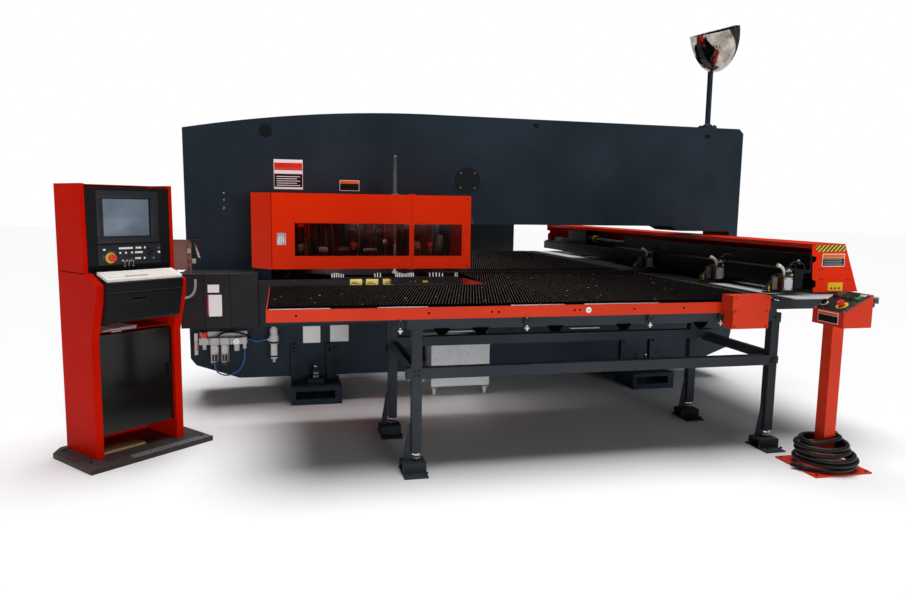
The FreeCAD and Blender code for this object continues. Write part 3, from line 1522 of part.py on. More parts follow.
def side_panel():
    """Tilted smoked guard in a black frame on two blocks, on the ledge of the left box."""
    frame_bar = 9.0
    wide, tall = 150.0, 215.0
    guard = block(0, wide, 0, 8, 0, tall)
    guard = guard.cut(block(frame_bar, wide - frame_bar, -1, 3, frame_bar, tall - frame_bar))
    guard.rotate(Vector(0, 0, 0), Vector(1, 0, 0), -16)
    blocks = [block(wide, wide + 26, -4, 14, z, z + 30) for z in (70.0, 150.0)]
    post = block(wide + 8, wide + 22, 12, 26, -28, 200)
    foot = block(wide - 60, wide + 34, -18, 60, -28, -20)
    link = [block(wide + 8, wide + 22, 10, 14, z, z + 30) for z in (70.0, 150.0)]
    arm = block(wide - 14, wide + 10, 4, 26, 20, 44)
    piece = join([guard, post, foot, arm] + blocks + link)
    piece.translate(Vector(-104, -250, left_box_top + 28))
    return piece


# ---------------------------------------------------------------- all nodes
def build():
    frame = machine_frame().cut(ram_passage())
    nodes["machine_frame"] = frame
    nodes["frame_feet"] = frame_feet()
    nodes["frame_covers"] = frame_covers()
    nodes["turret_cover"] = turret_cover()
    nodes["turret_door"] = turret_door()
    nodes["door_window"] = door_window()
    nodes["side_window"] = side_window()
    nodes["door_latch"] = door_latch()
    nodes["rear_turret_cover"] = rear_turret_cover()
    nodes["upper_turret"] = upper_turret()
    nodes["lower_turret"] = lower_turret()
    nodes["die_set"] = die_set()
    nodes["punch_set"] = punch_set()
    nodes["active_punch"] = active_punch()
    nodes["striker_ram"] = striker_ram()
    nodes["ram_housing"] = ram_housing()
    nodes["work_holder_cylinder"] = work_holder_cylinder()
    nodes["work_holder_rod"] = work_holder_rod()
    nodes["lower_front_cover"] = lower_front_cover()
    nodes["front_table_frame"] = front_table_frame()
    nodes["front_fascia"] = front_fascia()
    nodes["front_brushes"] = front_brushes()
    nodes["corner_box"] = corner_box()
    nodes["table_feet"] = table_feet()
    nodes["rear_table_frame"] = rear_table_frame()
    nodes["rear_brushes"] = rear_brushes()
    nodes["centre_table"] = centre_table()
    nodes["side_plates"] = side_plates()
    nodes["carriage_beam"] = carriage_beam()
    nodes["carriage_cover"] = carriage_cover()
    nodes["x_screw"] = x_screw()
    nodes["clamp_bar"] = clamp_bar()
    for number, y in enumerate(clamp_y, 1):
        nodes["clamp_body_%d" % number] = clamp_body(y)
        nodes["clamp_jaw_%d" % number] = clamp_jaw(y)
    nodes["clamp_hoses"] = clamp_hoses()
    nodes["mirror_pole"] = mirror_pole().cut(frame)
    nodes["convex_mirror"] = convex_mirror()
    nodes["air_unit"] = air_unit()
    nodes["air_valve_knob"] = air_valve_knob()
    nodes["air_hoses"] = air_hoses()
    nodes["console_body"] = console_body()
    nodes["console_base"] = console_base()
    nodes["console_head"] = console_head()
    nodes["keyboard"] = keyboard()
    nodes["console_door"] = console_door()
    nodes["console_estop"] = console_estop()
    nodes["pedestal_stand"] = pedestal_stand()
    nodes["pedestal_box"] = pedestal_box()
    nodes["pedestal_estop"] = pedestal_estop()
    nodes["pedestal_start_button"] = pedestal_start_button()
    nodes["pedestal_selector"] = pedestal_selector()
    nodes["cable_coil"] = cable_coil()
    nodes["cable_connector"] = cable_connector()
    nodes["scrap_bin"] = scrap_bin()
    nodes["electrical_cabinet"] = electrical_cabinet()
    nodes["side_panel"] = side_panel()


def footprint_centre():
    """Centre of the footprint, measured without the cable."""
    whole = FreeCAD.BoundBox()
    for name, shape in nodes.items():
        if name not in cord_nodes:
            whole.add(shape.BoundBox)
    return Vector(-(whole.XMin + whole.XMax) / 2, -(whole.YMin + whole.YMax) / 2, 0)


def main():
    build()
    shift = footprint_centre()
    os.makedirs("parts", exist_ok=True)
    for name, shape in nodes.items():
        shape.translate(shift)
        shape.exportStep(os.path.join("parts", name + ".step"))
    print("moved by", [round(c, 3) for c in shift], "nodes", len(nodes))
    print("hose bend radii", [round(r, 1) for r in bend_radii])
    return shift


origin_shift = main()
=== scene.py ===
"""Turret punch press: finishes and fittings over its solids, drawn in the machine's own millimetres."""
import json
import math
import random
from itertools import product

import bmesh
import bpy
from mathutils import Matrix, Vector


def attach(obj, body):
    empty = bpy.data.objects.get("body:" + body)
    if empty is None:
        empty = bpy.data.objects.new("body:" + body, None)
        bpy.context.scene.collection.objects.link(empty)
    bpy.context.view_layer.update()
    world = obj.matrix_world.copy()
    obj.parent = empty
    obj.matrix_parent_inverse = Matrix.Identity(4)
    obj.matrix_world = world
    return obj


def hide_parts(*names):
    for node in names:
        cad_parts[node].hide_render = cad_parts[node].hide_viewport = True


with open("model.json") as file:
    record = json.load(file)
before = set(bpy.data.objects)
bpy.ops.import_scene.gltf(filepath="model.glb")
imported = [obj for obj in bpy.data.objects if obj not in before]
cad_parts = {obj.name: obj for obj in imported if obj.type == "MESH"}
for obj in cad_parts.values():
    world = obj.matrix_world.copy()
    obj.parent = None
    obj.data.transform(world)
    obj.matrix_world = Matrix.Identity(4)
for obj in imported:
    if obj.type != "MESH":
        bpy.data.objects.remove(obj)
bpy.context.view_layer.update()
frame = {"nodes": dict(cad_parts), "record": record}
scene = bpy.context.scene
scene.view_settings.view_transform = "Standard"
scene.view_settings.look = "None"

# The drawing's origin, on the floor at the bridge frame's front left corner, as a place in the frame.
SHIFT = Vector((-1.960219, -0.7935, 0.0))
TO_FRAME = Matrix.Translation(SHIFT) @ Matrix.Scale(0.001, 4)

# Places that several fittings are set from, in millimetres.
TURRET = (1220.0, 200.0)
CLAMPS = (336.0, -723.0, -1470.0)
POLE = (4213.0, 50.0)
POST = (3735.0, -2090.0)
CABLE_EXIT = (3796.5, -2094.0, 182.0)
LOWER_COVER_FACE = -340.0
FASCIA_FACE = -1744.0
END_CAP_FACE = -1503.0
COVER_BACK = 1050.0
SERVICE_LINE = -120.0               # Y of the air unit's centre line

# The camera that fits the picture's straight edges: place in metres, angles in radians, lens in millimetres.
CAMERA_PLACE = (-1.267219, -6.3019, 1.4644)
YAW, PITCH, ROLL = 0.2333, -0.1245, 0.0151
LENS, SENSOR = 28.455, 36.0

# Rows of the brush tables: how they slant, and the steps from row to row and from tuft to tuft.
ROW_LEAN = math.radians(14.8)
ROW_GAP = 18.0
TUFT_GAP = 26.0

SUNS = [
    ("ceiling", (-0.08, -0.12, -1.0), 3.3, 46, True),
    ("front", (-0.24, 1.0, -0.02), 1.9, 18, False),
]
LAMPS = [
    ("cover_inside", (-0.72, -1.40, 1.515), (-0.72, -1.26, 1.10), (1.1, 0.05), 5.5),
    ("fill", (-7.5, -6.5, 3.2), (-0.5, 0.0, 1.0), (2.5, 2.0), 8.0),
]


def photographer():
    """The camera at the picture's viewing angle."""
    ahead = Vector((math.sin(YAW) * math.cos(PITCH), math.cos(YAW) * math.cos(PITCH), math.sin(PITCH)))
    right = Vector((math.cos(YAW), -math.sin(YAW), 0.0))
    up = right.cross(ahead)
    side = math.cos(ROLL) * right + math.sin(ROLL) * up
    top = -math.sin(ROLL) * right + math.cos(ROLL) * up
    lens = bpy.data.cameras.new("camera")
    lens.sensor_width = SENSOR
    lens.lens = LENS
    lens.clip_end = 60.0
    camera = bpy.data.objects.new("camera", lens)
    camera.matrix_world = Matrix.Translation(CAMERA_PLACE) @ Matrix((side, top, -ahead)).transposed().to_4x4()
    scene.collection.objects.link(camera)
    scene.camera = camera


photographer()


# ---------------------------------------------------------------- shader trees
class Tree:
    """A shader tree, laid out by short calls that give the new node's output."""

    def __init__(self, tree):
        self.tree = tree

    def feed(self, value, socket):
        """Links a socket to another node's output, or sets it to a number or colour."""
        if isinstance(value, bpy.types.NodeSocket):
            self.tree.links.new(value, socket)
        elif socket.type == "RGBA" and len(value) == 3:
            socket.default_value = (*value, 1.0)
        else:
            socket.default_value = value

    def node(self, kind, sockets=None, **settings):
        made = self.tree.nodes.new(kind)
        for key, value in settings.items():
            setattr(made, key, value)
        for key, value in (sockets or {}).items():
            self.feed(value, made.inputs[key])
        return made

    def where(self):
        return self.node("ShaderNodeTexCoord").outputs["Object"]

    def along(self, where, axis):
        return self.node("ShaderNodeSeparateXYZ", {0: where}).outputs[axis]

    def stretched(self, where, scale):
        return self.node("ShaderNodeMapping", {"Vector": where, "Scale": scale}).outputs[0]

    def noise(self, where, scale, detail=2.0, roughness=0.5):
        sockets = {"Vector": where, "Scale": scale, "Detail": detail, "Roughness": roughness}
        return self.node("ShaderNodeTexNoise", sockets).outputs["Fac"]

    def between(self, value, low, high, to_low=0.0, to_high=1.0):
        """Stretches the values from low to high over another range, and clips the rest."""
        sockets = {"Value": value, "From Min": low, "From Max": high, "To Min": to_low, "To Max": to_high}
        return self.node("ShaderNodeMapRange", sockets).outputs["Result"]

    def blend(self, amount, low, high, mode="MIX"):
        sockets = {0: amount, 6: low, 7: high}
        return self.node("ShaderNodeMix", sockets, data_type="RGBA", blend_type=mode).outputs[2]

    def times(self, first, second):
        return self.node("ShaderNodeMath", {0: first, 1: second}, operation="MULTIPLY").outputs[0]

    def plus(self, first, second):
        return self.node("ShaderNodeMath", {0: first, 1: second}, operation="ADD").outputs[0]


class Finish(Tree):
    """A material whose tree feeds its own shader."""

    def __init__(self, name):
        self.material = bpy.data.materials.new(name)
        self.material.use_nodes = True
        super().__init__(self.material.node_tree)
        self.shader = self.tree.nodes["Principled BSDF"]

    def set(self, **sockets):
        for key, value in sockets.items():
            self.feed(value, self.shader.inputs[key.replace("_", " ")])

    def effect(self, group, **sockets):
        """Places a shared effect with this finish's own values and gives what it puts out."""
        made = self.node("ShaderNodeGroup", node_tree=group)
        for key, value in sockets.items():
            self.feed(value, made.inputs[key.replace("_", " ")])
        return made.outputs

    def bump(self, height, strength, distance, normal=None):
        bump = self.node("ShaderNodeBump", {"Height": height, "Strength": strength, "Distance": distance})
        if normal is not None:
            self.feed(normal, bump.inputs["Normal"])
        self.set(Normal=bump.outputs[0])


def new_effect(name, inputs, outputs):
    """A node group with named sockets: its tree, what it is given and what it puts out."""
    tree = bpy.data.node_groups.new(name, "ShaderNodeTree")
    for label, kind, value in inputs:
        tree.interface.new_socket(label, in_out="INPUT",
                                  socket_type="NodeSocket" + kind).default_value = value
    for label, kind in outputs:
        tree.interface.new_socket(label, in_out="OUTPUT", socket_type="NodeSocket" + kind)
    return Tree(tree), tree.nodes.new("NodeGroupInput").outputs, tree.nodes.new("NodeGroupOutput").inputs


def edge_wear():
    """Rubbed edges and corners, with the small round that every real edge has."""
    effect, given, wanted = new_effect(
        "rubbed_edges", [("Width", "Float", 0.004), ("Amount", "Float", 0.5), ("Patch", "Float", 18.0)],
        [("Mask", "Float"), ("Normal", "Vector")])
    rounded = effect.node("ShaderNodeBevel", {"Radius": given["Width"]}, samples=4).outputs[0]
    flat = effect.node("ShaderNodeNewGeometry").outputs["Normal"]
    bend = effect.node("ShaderNodeVectorMath", {0: rounded, 1: flat},
                       operation="DOT_PRODUCT").outputs["Value"]
    patches = effect.between(effect.noise(effect.where(), given["Patch"], 6.0, 0.7), 0.42, 0.62)
    mask = effect.times(effect.between(bend, 0.985, 0.86), patches)
    effect.feed(effect.times(mask, given["Amount"]), wanted["Mask"])
    effect.feed(rounded, wanted["Normal"])
    return effect.tree


def sprayed_coat():
    """Sprayed coat: broad tone change, fine speckle and the height of its orange peel."""
    effect, given, wanted = new_effect(
        "sprayed_coat", [("Colour", "Color", (0.5, 0.5, 0.5, 1.0)), ("Tone", "Color", (0.6, 0.6, 0.6, 1.0)),
                         ("Speckle", "Float", 260.0), ("Speckle Depth", "Float", 0.3)],
        [("Colour", "Color"), ("Rough", "Float"), ("Height", "Float")])
    where = effect.where()
    broad = effect.between(effect.noise(where, 1.6, 5.0, 0.6), 0.34, 0.68)
    fine = effect.noise(where, given["Speckle"])
    toned = effect.blend(broad, given["Colour"], given["Tone"])
    speck = effect.times(effect.between(fine, 0.45, 0.75), given["Speckle Depth"])
    effect.feed(effect.blend(speck, toned, effect.blend(0.5, toned, given["Tone"], "ADD")), wanted["Colour"])
    effect.feed(effect.between(effect.noise(where, 7.0, 6.0, 0.65), 0.3, 0.7, -0.06, 0.09), wanted["Rough"])
    effect.feed(fine, wanted["Height"])
    return effect.tree


def settled_dust():
    """Pale dust that settles on level faces."""
    effect, given, wanted = new_effect("settled_dust", [("Amount", "Float", 0.3)], [("Mask", "Float")])
    face = effect.node("ShaderNodeNewGeometry").outputs["Normal"]
    level = effect.between(effect.along(face, 2), 0.55, 0.98)
    thin = effect.between(effect.noise(effect.where(), 11.0, 8.0, 0.72), 0.35, 0.75)
    effect.feed(effect.times(effect.times(level, thin), given["Amount"]), wanted["Mask"])
    return effect.tree


RUBBED = edge_wear()
SPRAYED = sprayed_coat()
DUSTED = settled_dust()


# ---------------------------------------------------------------- finishes
def enamel(name, colour, tone, rough=0.42, coat=0.0, speckle=260.0, speck=0.3, peel=0.12, wear=0.2, dust=0.12,
           width=0.003, bare=(0.36, 0.36, 0.37), shine=0.3):
    """Sprayed paint on sheet steel with rubbed edges and settled dust."""
    paint = Finish(name)
    sprayed = paint.effect(SPRAYED, Colour=colour, Tone=tone, Speckle=speckle, Speckle_Depth=speck)
    rubbed = paint.effect(RUBBED, Width=width, Amount=wear)
    dusted = paint.effect(DUSTED, Amount=dust)["Mask"]
    wear_and_painted_light = paint.blend(rubbed["Mask"], sprayed["Colour"], bare)
    gloss = paint.plus(paint.plus(sprayed["Rough"], rough), paint.times(dusted, 0.5))
    paint.set(Base_Color=paint.blend(dusted, wear_and_painted_light, (0.42, 0.40, 0.37)), Roughness=gloss,
              Specular_IOR_Level=shine, Coat_Weight=coat, Coat_Roughness=0.12)
    paint.bump(sprayed["Height"], peel, 0.0006, rubbed["Normal"])
    return paint.material


def metal(name, colour, tone, rough=0.3, grain=(1.0, 1.0, 1.0), scale=90.0, depth=0.15, oil=0.0, wear=0.0,
          metallic=1.0):
    """Bare metal with a directional grain and faint stains."""
    steel = Finish(name)
    where = steel.where()
    lines = steel.noise(steel.stretched(where, grain), scale, 4.0, 0.6)
    stain = steel.noise(where, 9.0, 7.0, 0.7)
    body = steel.blend(steel.between(lines, 0.3, 0.7), colour, tone)
    body = steel.blend(steel.between(stain, 0.48, 0.72, 0.0, 0.25 + oil), body, [c * 0.35 for c in colour])
    rubbed = steel.effect(RUBBED, Width=0.0015, Amount=wear)
    steel.set(Base_Color=steel.blend(rubbed["Mask"], body, (0.75, 0.75, 0.75)), Metallic=metallic,
              Roughness=steel.between(stain, 0.3, 0.7, rough * 0.75, rough * 1.4))
    steel.bump(lines, depth, 0.0004, rubbed["Normal"])
    return steel.material


def moulded(name, colour, rough=0.4, coat=0.0, grain=700.0, depth=0.1, tone=0.25, scale=14.0, shine=0.3):
    """Moulded plastic, rubber or a painted label: small mottling, fine skin and uneven sheen."""
    skin = Finish(name)
    where = skin.where()
    broad = skin.noise(where, scale, 5.0, 0.65)
    shade = skin.blend(skin.between(broad, 0.3, 0.7, 0.0, tone), colour, [c * 0.55 for c in colour])
    gloss = skin.between(broad, 0.3, 0.7, rough * 0.8, rough * 1.25)
    skin.set(Base_Color=shade, Roughness=gloss, Specular_IOR_Level=shine, Coat_Weight=coat)
    skin.bump(skin.noise(where, grain), depth, 0.0003)
    return skin.material


def lit_screen():
    """The console's screen, faintly lit and uneven."""
    colour = (0.115, 0.148, 0.185)
    face = Finish("screen_face")
    shade = face.blend(face.between(face.noise(face.where(), 6.0), 0.3, 0.7), colour,
                       [c * 0.7 for c in colour])
    face.set(Base_Color=shade, Emission_Color=shade, Emission_Strength=0.5, Roughness=0.12)
    return face.material


def smoked_sheet():
    """Smoked brown polycarbonate with faint wipe marks."""
    pane = Finish("smoked_sheet")
    where = pane.where()
    wipe = pane.noise(where, 5.0, 6.0, 0.7)
    tint = pane.blend(pane.between(wipe, 0.3, 0.7), (0.17, 0.088, 0.066), (0.23, 0.125, 0.10))
    pane.set(Base_Color=tint, Roughness=pane.between(wipe, 0.4, 0.8, 0.02, 0.10), Transmission_Weight=1.0,
             IOR=1.1)
    pane.bump(pane.noise(where, 60.0), 0.02, 0.0004)
    return pane.material


def bristle():
    """Black nylon over dark roots, its tips painted pale as a highlight and darker towards both ends of the
    table as painted shade.
    """
    nylon = Finish("brush_bristle")
    where = nylon.where()
    across = nylon.along(where, 0)
    tip = nylon.between(nylon.along(where, 2), 0.9362, 0.9375)
    squeezed = nylon.stretched(where, (1.0, 3.0, 1.0))
    tufts = nylon.noise(squeezed, 60.0, 3.0, 0.7)
    hair = nylon.noise(squeezed, 420.0)
    # Pale tips: a painted highlight where light catches the tops of the bristles.
    lit = nylon.times(tip, nylon.between(tufts, 0.35, 0.65, 0.25, 1.0))
    # Tips dimmed towards both ends of the table: painted shade.
    wear_and_painted_light = nylon.times(nylon.between(across, -1.1, -0.4, 0.55, 1.0),
                       nylon.between(across, 0.3, 1.2, 1.0, 0.4))
    nylon.set(Base_Color=nylon.blend(nylon.times(lit, wear_and_painted_light), (0.0003, 0.0003, 0.0003), (0.36, 0.30, 0.275)),
              Roughness=0.62, Specular_IOR_Level=0.0)
    nylon.bump(nylon.plus(hair, tufts), 0.8, 0.004)
    return nylon.material


def slide_plate():
    """Smooth plate, in its own pale colour at its ends and painted near-black between them as the shade under
    the frame and the clamp bar.
    """
    plate = Finish("slide_plate_painted_shade")
    where = plate.where()
    rub = plate.noise(plate.stretched(where, (1.0, 9.0, 1.0)), 22.0, 5.0, 0.7)
    depth = plate.along(where, 1)
    ends = plate.plus(plate.between(depth, -1.62, -1.50, 1.0, 0.0), plate.between(depth, 0.95, 1.20))
    clear = plate.times(ends, plate.between(plate.along(where, 0), 1.80, 1.84))
    plate_colour = plate.blend(rub, (0.42, 0.44, 0.45), (0.60, 0.62, 0.64))
    # Near-black painted shade over the plate where it lies under the frame and the clamp bar.
    shaded_plate = plate.blend(rub, (0.003, 0.003, 0.0033), (0.010, 0.0096, 0.0096))
    plate.set(Base_Color=plate.blend(clear, shaded_plate, plate_colour), Roughness=plate.between(rub, 0.2, 0.8, 0.34, 0.52),
              Specular_IOR_Level=0.15)
    plate.bump(rub, 0.05, 0.0004)
    return plate.material


def warning_stripes():
    """Painted yellow and black stripes that run over the piece at a slant."""
    pitch = 0.022
    paint = Finish("warning_stripes")
    where = paint.where()
    slanted = paint.node("ShaderNodeMapping", {"Vector": where, "Rotation": (0.0, math.radians(45), 0.0)})
    count = paint.node("ShaderNodeMath", {0: paint.along(slanted.outputs[0], 2), 1: pitch},
                       operation="DIVIDE")
    band = paint.node("ShaderNodeMath", {0: count.outputs[0]}, operation="FRACT").outputs[0]
    stripes = paint.blend(paint.between(band, 0.49, 0.51), (0.70, 0.50, 0.02), (0.012, 0.011, 0.011))
    scuffs = paint.between(paint.noise(where, 90.0, 5.0, 0.7), 0.6, 0.8, 0.0, 0.5)
    paint.set(Base_Color=paint.blend(scuffs, stripes, (0.2, 0.2, 0.2)), Roughness=0.35)
    return paint.material


RED_COAT = {"speck": 0.0, "peel": 0.06, "dust": 0.01}
RED_UNDERCOAT = (0.75, 0.22, 0.12)
DARK_COAT = {"speckle": 500.0, "peel": 0.2, "dust": 0.06, "bare": (0.12, 0.12, 0.12)}

FRAME_ENAMEL = enamel("frame_enamel", (0.0084, 0.0156, 0.0232), (0.0176, 0.0288, 0.0424), rough=0.38,
                      speckle=420.0, speck=0.5, peel=0.9, dust=0.16, width=0.004, bare=(0.16, 0.19, 0.22),
                      shine=0.25)
MACHINE_RED = enamel("machine_red", (0.78, 0.025, 0.0001), (0.70, 0.020, 0.0001), rough=0.4, coat=0.08,
                     bare=RED_UNDERCOAT, shine=0.06, **RED_COAT)
TRIM_RED = enamel("trim_red", (0.66, 0.042, 0.012), (0.56, 0.032, 0.009), coat=0.08, bare=(0.8, 0.30, 0.2),
                  shine=0.14, **RED_COAT)
CONSOLE_RED = enamel("console_red", (0.54, 0.008, 0.0008), (0.47, 0.006, 0.0008), rough=0.46, wear=0.15,
                     bare=RED_UNDERCOAT, shine=0.02, **RED_COAT)
LEG_ENAMEL = enamel("leg_enamel", (0.017, 0.0215, 0.027), (0.029, 0.036, 0.044), speckle=380.0, peel=0.3,
                    wear=0.25, bare=(0.14, 0.15, 0.16), shine=0.25)
BOX_GREY = enamel("lower_cover_grey", (0.0125, 0.0115, 0.0135), (0.021, 0.019, 0.022), **DARK_COAT)
# Rubbed edges painted pale brown: partly wear and partly a painted highlight along the beam's edges.
BEAM_BLACK = enamel("beam_black", (0.0045, 0.0042, 0.0045), (0.0095, 0.0088, 0.0088), rough=0.34,
                    speckle=300.0, speck=0.5, peel=0.3, wear=0.8, dust=0.03, width=0.004,
                    bare=(0.20, 0.17, 0.14), shine=0.12)
CHARCOAL = enamel("charcoal_enamel", (0.0075, 0.0070, 0.0078), (0.013, 0.0125, 0.0135), **DARK_COAT)
CABINET = enamel("cabinet_enamel", (0.018, 0.022, 0.028), (0.028, 0.034, 0.041), rough=0.5, speckle=500.0,
                 speck=0.4, peel=0.4, dust=0.15)
CREAM = enamel("cream_enamel", (0.36, 0.35, 0.31), (0.50, 0.49, 0.45), speck=0.1, peel=0.15, dust=0.05)
OXIDE = enamel("black_oxide", (0.010, 0.010, 0.011), (0.022, 0.021, 0.021), speckle=600.0, speck=0.5,
               peel=0.15, wear=0.6, dust=0.05, width=0.0018, bare=(0.25, 0.24, 0.23))
TREAD_PLATE = enamel("brown_black_plate", (0.020, 0.016, 0.015), (0.034, 0.027, 0.024), rough=0.45,
                     speckle=300.0, speck=0.5, peel=0.4, wear=0.35, dust=0.15, bare=(0.20, 0.18, 0.16))
AIR_SILVER = enamel("silver_enamel", (0.46, 0.46, 0.44), (0.60, 0.60, 0.58), rough=0.38, speck=0.1, peel=0.15,
                    wear=0.3, dust=0.08)

TURRET_STEEL = metal("turret_steel", (0.11, 0.11, 0.115), (0.22, 0.22, 0.225), rough=0.32, scale=140.0,
                     oil=0.25)
CHROME = metal("polished_chrome", (0.62, 0.62, 0.64), (0.72, 0.72, 0.74), rough=0.12, scale=40.0, depth=0.02)
GROUND_STEEL = metal("ground_steel", (0.80, 0.82, 0.83), (0.88, 0.90, 0.91), rough=0.42, grain=(1, 12, 1),
                     scale=60.0, wear=0.3, metallic=0.35)
SATIN_ALU = metal("satin_aluminium", (0.62, 0.63, 0.64), (0.78, 0.79, 0.80), rough=0.32, grain=(1, 1, 10),
                  scale=80.0, wear=0.3)
# Streaks from dark brown to pale beige in the mirror's colour: a painted reflection of the room around it.
SILVERED_PAINTED_REFLECTION = metal("silvered_acrylic_painted_reflection", (0.15, 0.125, 0.10), (0.66, 0.60, 0.53), rough=0.07, scale=16.0,
                 depth=0.06)
BRASS = metal("yellow_brass", (0.55, 0.36, 0.10), (0.72, 0.50, 0.18), scale=120.0)
BIN_STEEL = metal("drawn_sheet_steel", (0.60, 0.62, 0.63), (0.80, 0.82, 0.83), rough=0.42, grain=(14, 14, 1),
                  scale=22.0, depth=0.05, metallic=0.2)

MATT_BLACK = moulded("matt_black_plastic", (0.0075, 0.0075, 0.0085), rough=0.42, shine=0.2)
GLOSS_BLACK = moulded("gloss_black_panel", (0.0075, 0.0058, 0.0052), rough=0.1, depth=0.02, tone=0.9,
                      scale=2.6)
RUBBER = moulded("black_rubber", (0.012, 0.012, 0.012), rough=0.6, depth=0.2)
SHEATH = moulded("black_cable_sheath", (0.013, 0.011, 0.012), rough=0.38, grain=400.0, depth=0.15, scale=30.0)
SATIN_WHITE = moulded("satin_white_plastic", (0.93, 0.90, 0.86), rough=0.45)
IVORY = moulded("ivory_plastic", (0.50, 0.45, 0.35), rough=0.45)
GLOSS_RED = moulded("gloss_red_plastic", (0.68, 0.030, 0.012), rough=0.22, coat=0.4, depth=0.02)
GLOSS_GREEN = moulded("gloss_green_plastic", (0.02, 0.30, 0.06), rough=0.22, coat=0.4, depth=0.02)
SIGNAL_YELLOW = moulded("signal_yellow", (0.78, 0.52, 0.015))
SIGNAL_ORANGE = moulded("signal_orange", (0.75, 0.16, 0.012))
LABEL_YELLOW = moulded("pale_yellow_label", (0.88, 0.72, 0.20), depth=0.05)
PLATE_WHITE = moulded("plate_white", (0.90, 0.91, 0.92), rough=0.35, tone=0.12, depth=0.03)
PLATE_GREY = moulded("plate_grey", (0.30, 0.31, 0.32), tone=0.2, depth=0.03)
BLUE_HOSE = moulded("blue_hose", (0.02, 0.12, 0.42), rough=0.25, coat=0.3, depth=0.02)
KEY_BLUE = moulded("key_blue", (0.05, 0.16, 0.36))
BOARD = moulded("tan_board", (0.42, 0.25, 0.13), rough=0.6, depth=0.3)
DARK_GAP = moulded("dark_gap", (0.0015, 0.0013, 0.0014), rough=0.8, shine=0.0)
SHIELD_BROWN = moulded("brown_shield_sheet", (0.21, 0.115, 0.095), rough=0.2, coat=0.2, tone=0.5, scale=3.0)
# Grey a little lighter than the drawer: a painted highlight along the drawer's lip.
LIP_HIGHLIGHT_GREY = moulded("drawer_lip_painted_highlight", (0.045, 0.046, 0.050))
ACCESS_BLACK = moulded("access_cover_black", (0.006, 0.0075, 0.009), rough=0.3)
FACE_BROWN = moulded("worn_brown_face", (0.17, 0.125, 0.11), tone=0.3)
BLOCK_BROWN = moulded("brown_plastic", (0.10, 0.042, 0.032), rough=0.35, coat=0.2)
SILVER_BLOCK = moulded("silver_block", (0.62, 0.63, 0.66), rough=0.35, tone=0.2, depth=0.05)
ELBOW_CREAM = moulded("cream_elbow", (0.72, 0.66, 0.56), rough=0.35)
BEZEL = moulded("grey_bezel", (0.022, 0.024, 0.028))
PANEL_BROWN = moulded("dark_brown_panel", (0.022, 0.010, 0.009), rough=0.25, coat=0.4, depth=0.03)
FLOOR = moulded("pale_floor", (0.93, 0.93, 0.93), rough=0.6, tone=0.02, grain=200.0, depth=0.02)

SCREEN = lit_screen()
SMOKED = smoked_sheet()
BRISTLE = bristle()
SLIDE_PLATE = slide_plate()
STRIPES = warning_stripes()

BY_SLOT = {
    "frame_paint": FRAME_ENAMEL, "red_paint": MACHINE_RED, "dark_paint": LEG_ENAMEL, "brush": BRISTLE,
    "smoked": SMOKED, "turret_steel": TURRET_STEEL, "chrome": CHROME, "bright_steel": GROUND_STEEL,
    "mirror": SILVERED_PAINTED_REFLECTION, "black_plastic": MATT_BLACK, "white_plastic": SATIN_WHITE, "red_plastic": GLOSS_RED,
    "green_plastic": GLOSS_GREEN, "cable_pvc": SHEATH, "blue_hose": BLUE_HOSE, "cabinet_paint": CABINET,
}
BY_NODE = {
    "frame_covers": ACCESS_BLACK, "front_fascia": TRIM_RED, "corner_box": TRIM_RED,
    "lower_front_cover": BOX_GREY, "lower_turret": OXIDE, "centre_table": SLIDE_PLATE,
    "side_plates": SLIDE_PLATE, "carriage_beam": BEAM_BLACK, "clamp_bar": BEAM_BLACK,
    "x_screw": CHROME, "console_body": CONSOLE_RED, "console_door": GLOSS_BLACK,
    "console_base": TREAD_PLATE, "pedestal_stand": TRIM_RED, "pedestal_box": TRIM_RED,
    "air_unit": AIR_SILVER, "side_panel": SHIELD_BROWN, "scrap_bin": BIN_STEEL,
}
for number in (1, 2, 3):
    BY_NODE[f"clamp_body_{number}"] = OXIDE
    BY_NODE[f"clamp_jaw_{number}"] = OXIDE


def coat_the_nodes():
    slot_of = {part["node"]: part["material_slot"] for part in frame["record"]["subparts"]}
    for name, node in frame["nodes"].items():
        finish = BY_NODE.get(name) or BY_SLOT[slot_of[name]]
        if node.data.materials:
            for index in range(len(node.data.materials)):
                node.data.materials[index] = finish
        else:
            node.data.materials.append(finish)


coat_the_nodes()


# ---------------------------------------------------------------- cable and hoses
def spot(x, y, z):
    """A point of the drawing as a place in the frame."""
    return TO_FRAME @ Vector((x, y, z))


def line_of(name, points, radius, finish, body, replaced):
    """A flexible line: one smooth spline through its route's points."""
    curve = bpy.data.curves.new(name, "CURVE")
    curve.dimensions = "3D"
    spline = curve.splines.new("NURBS")
    spline.points.add(len(points) - 1)
    for point, place in zip(spline.points, points):
        point.co = (*spot(*place), 1.0)
        point.radius = 0.01
    spline.order_u = 3
    spline.use_endpoint_u = True
    curve.resolution_u = 6
    curve.bevel_depth = radius * 0.1
    curve.bevel_resolution = 4
    curve.use_fill_caps = True
    curve.materials.append(finish)
    made = bpy.data.objects.new(name, curve)
    scene.collection.objects.link(made)
    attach(made, body)
    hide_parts(replaced)
    return made


def coil_point(angle, turns):
    """A point on loose turns that shrink, rise and drift as they stack round the post."""
    turn_number = angle / (2 * math.pi)
    share = turn_number / turns
    radius = 172.0 - 46.0 * share
    start = math.radians(150.0)
    x = POST[0] - 8.0 + 13.0 * math.sin(1.3 * turn_number) + radius * math.cos(angle - start)
    y = POST[1] - 12.0 + 11.0 * math.cos(1.6 * turn_number) + radius * math.sin(angle - start)
    return Vector((x, y, 26.0 + 27.2 * turn_number - 2.0 * share * math.sin(angle + 0.5)))


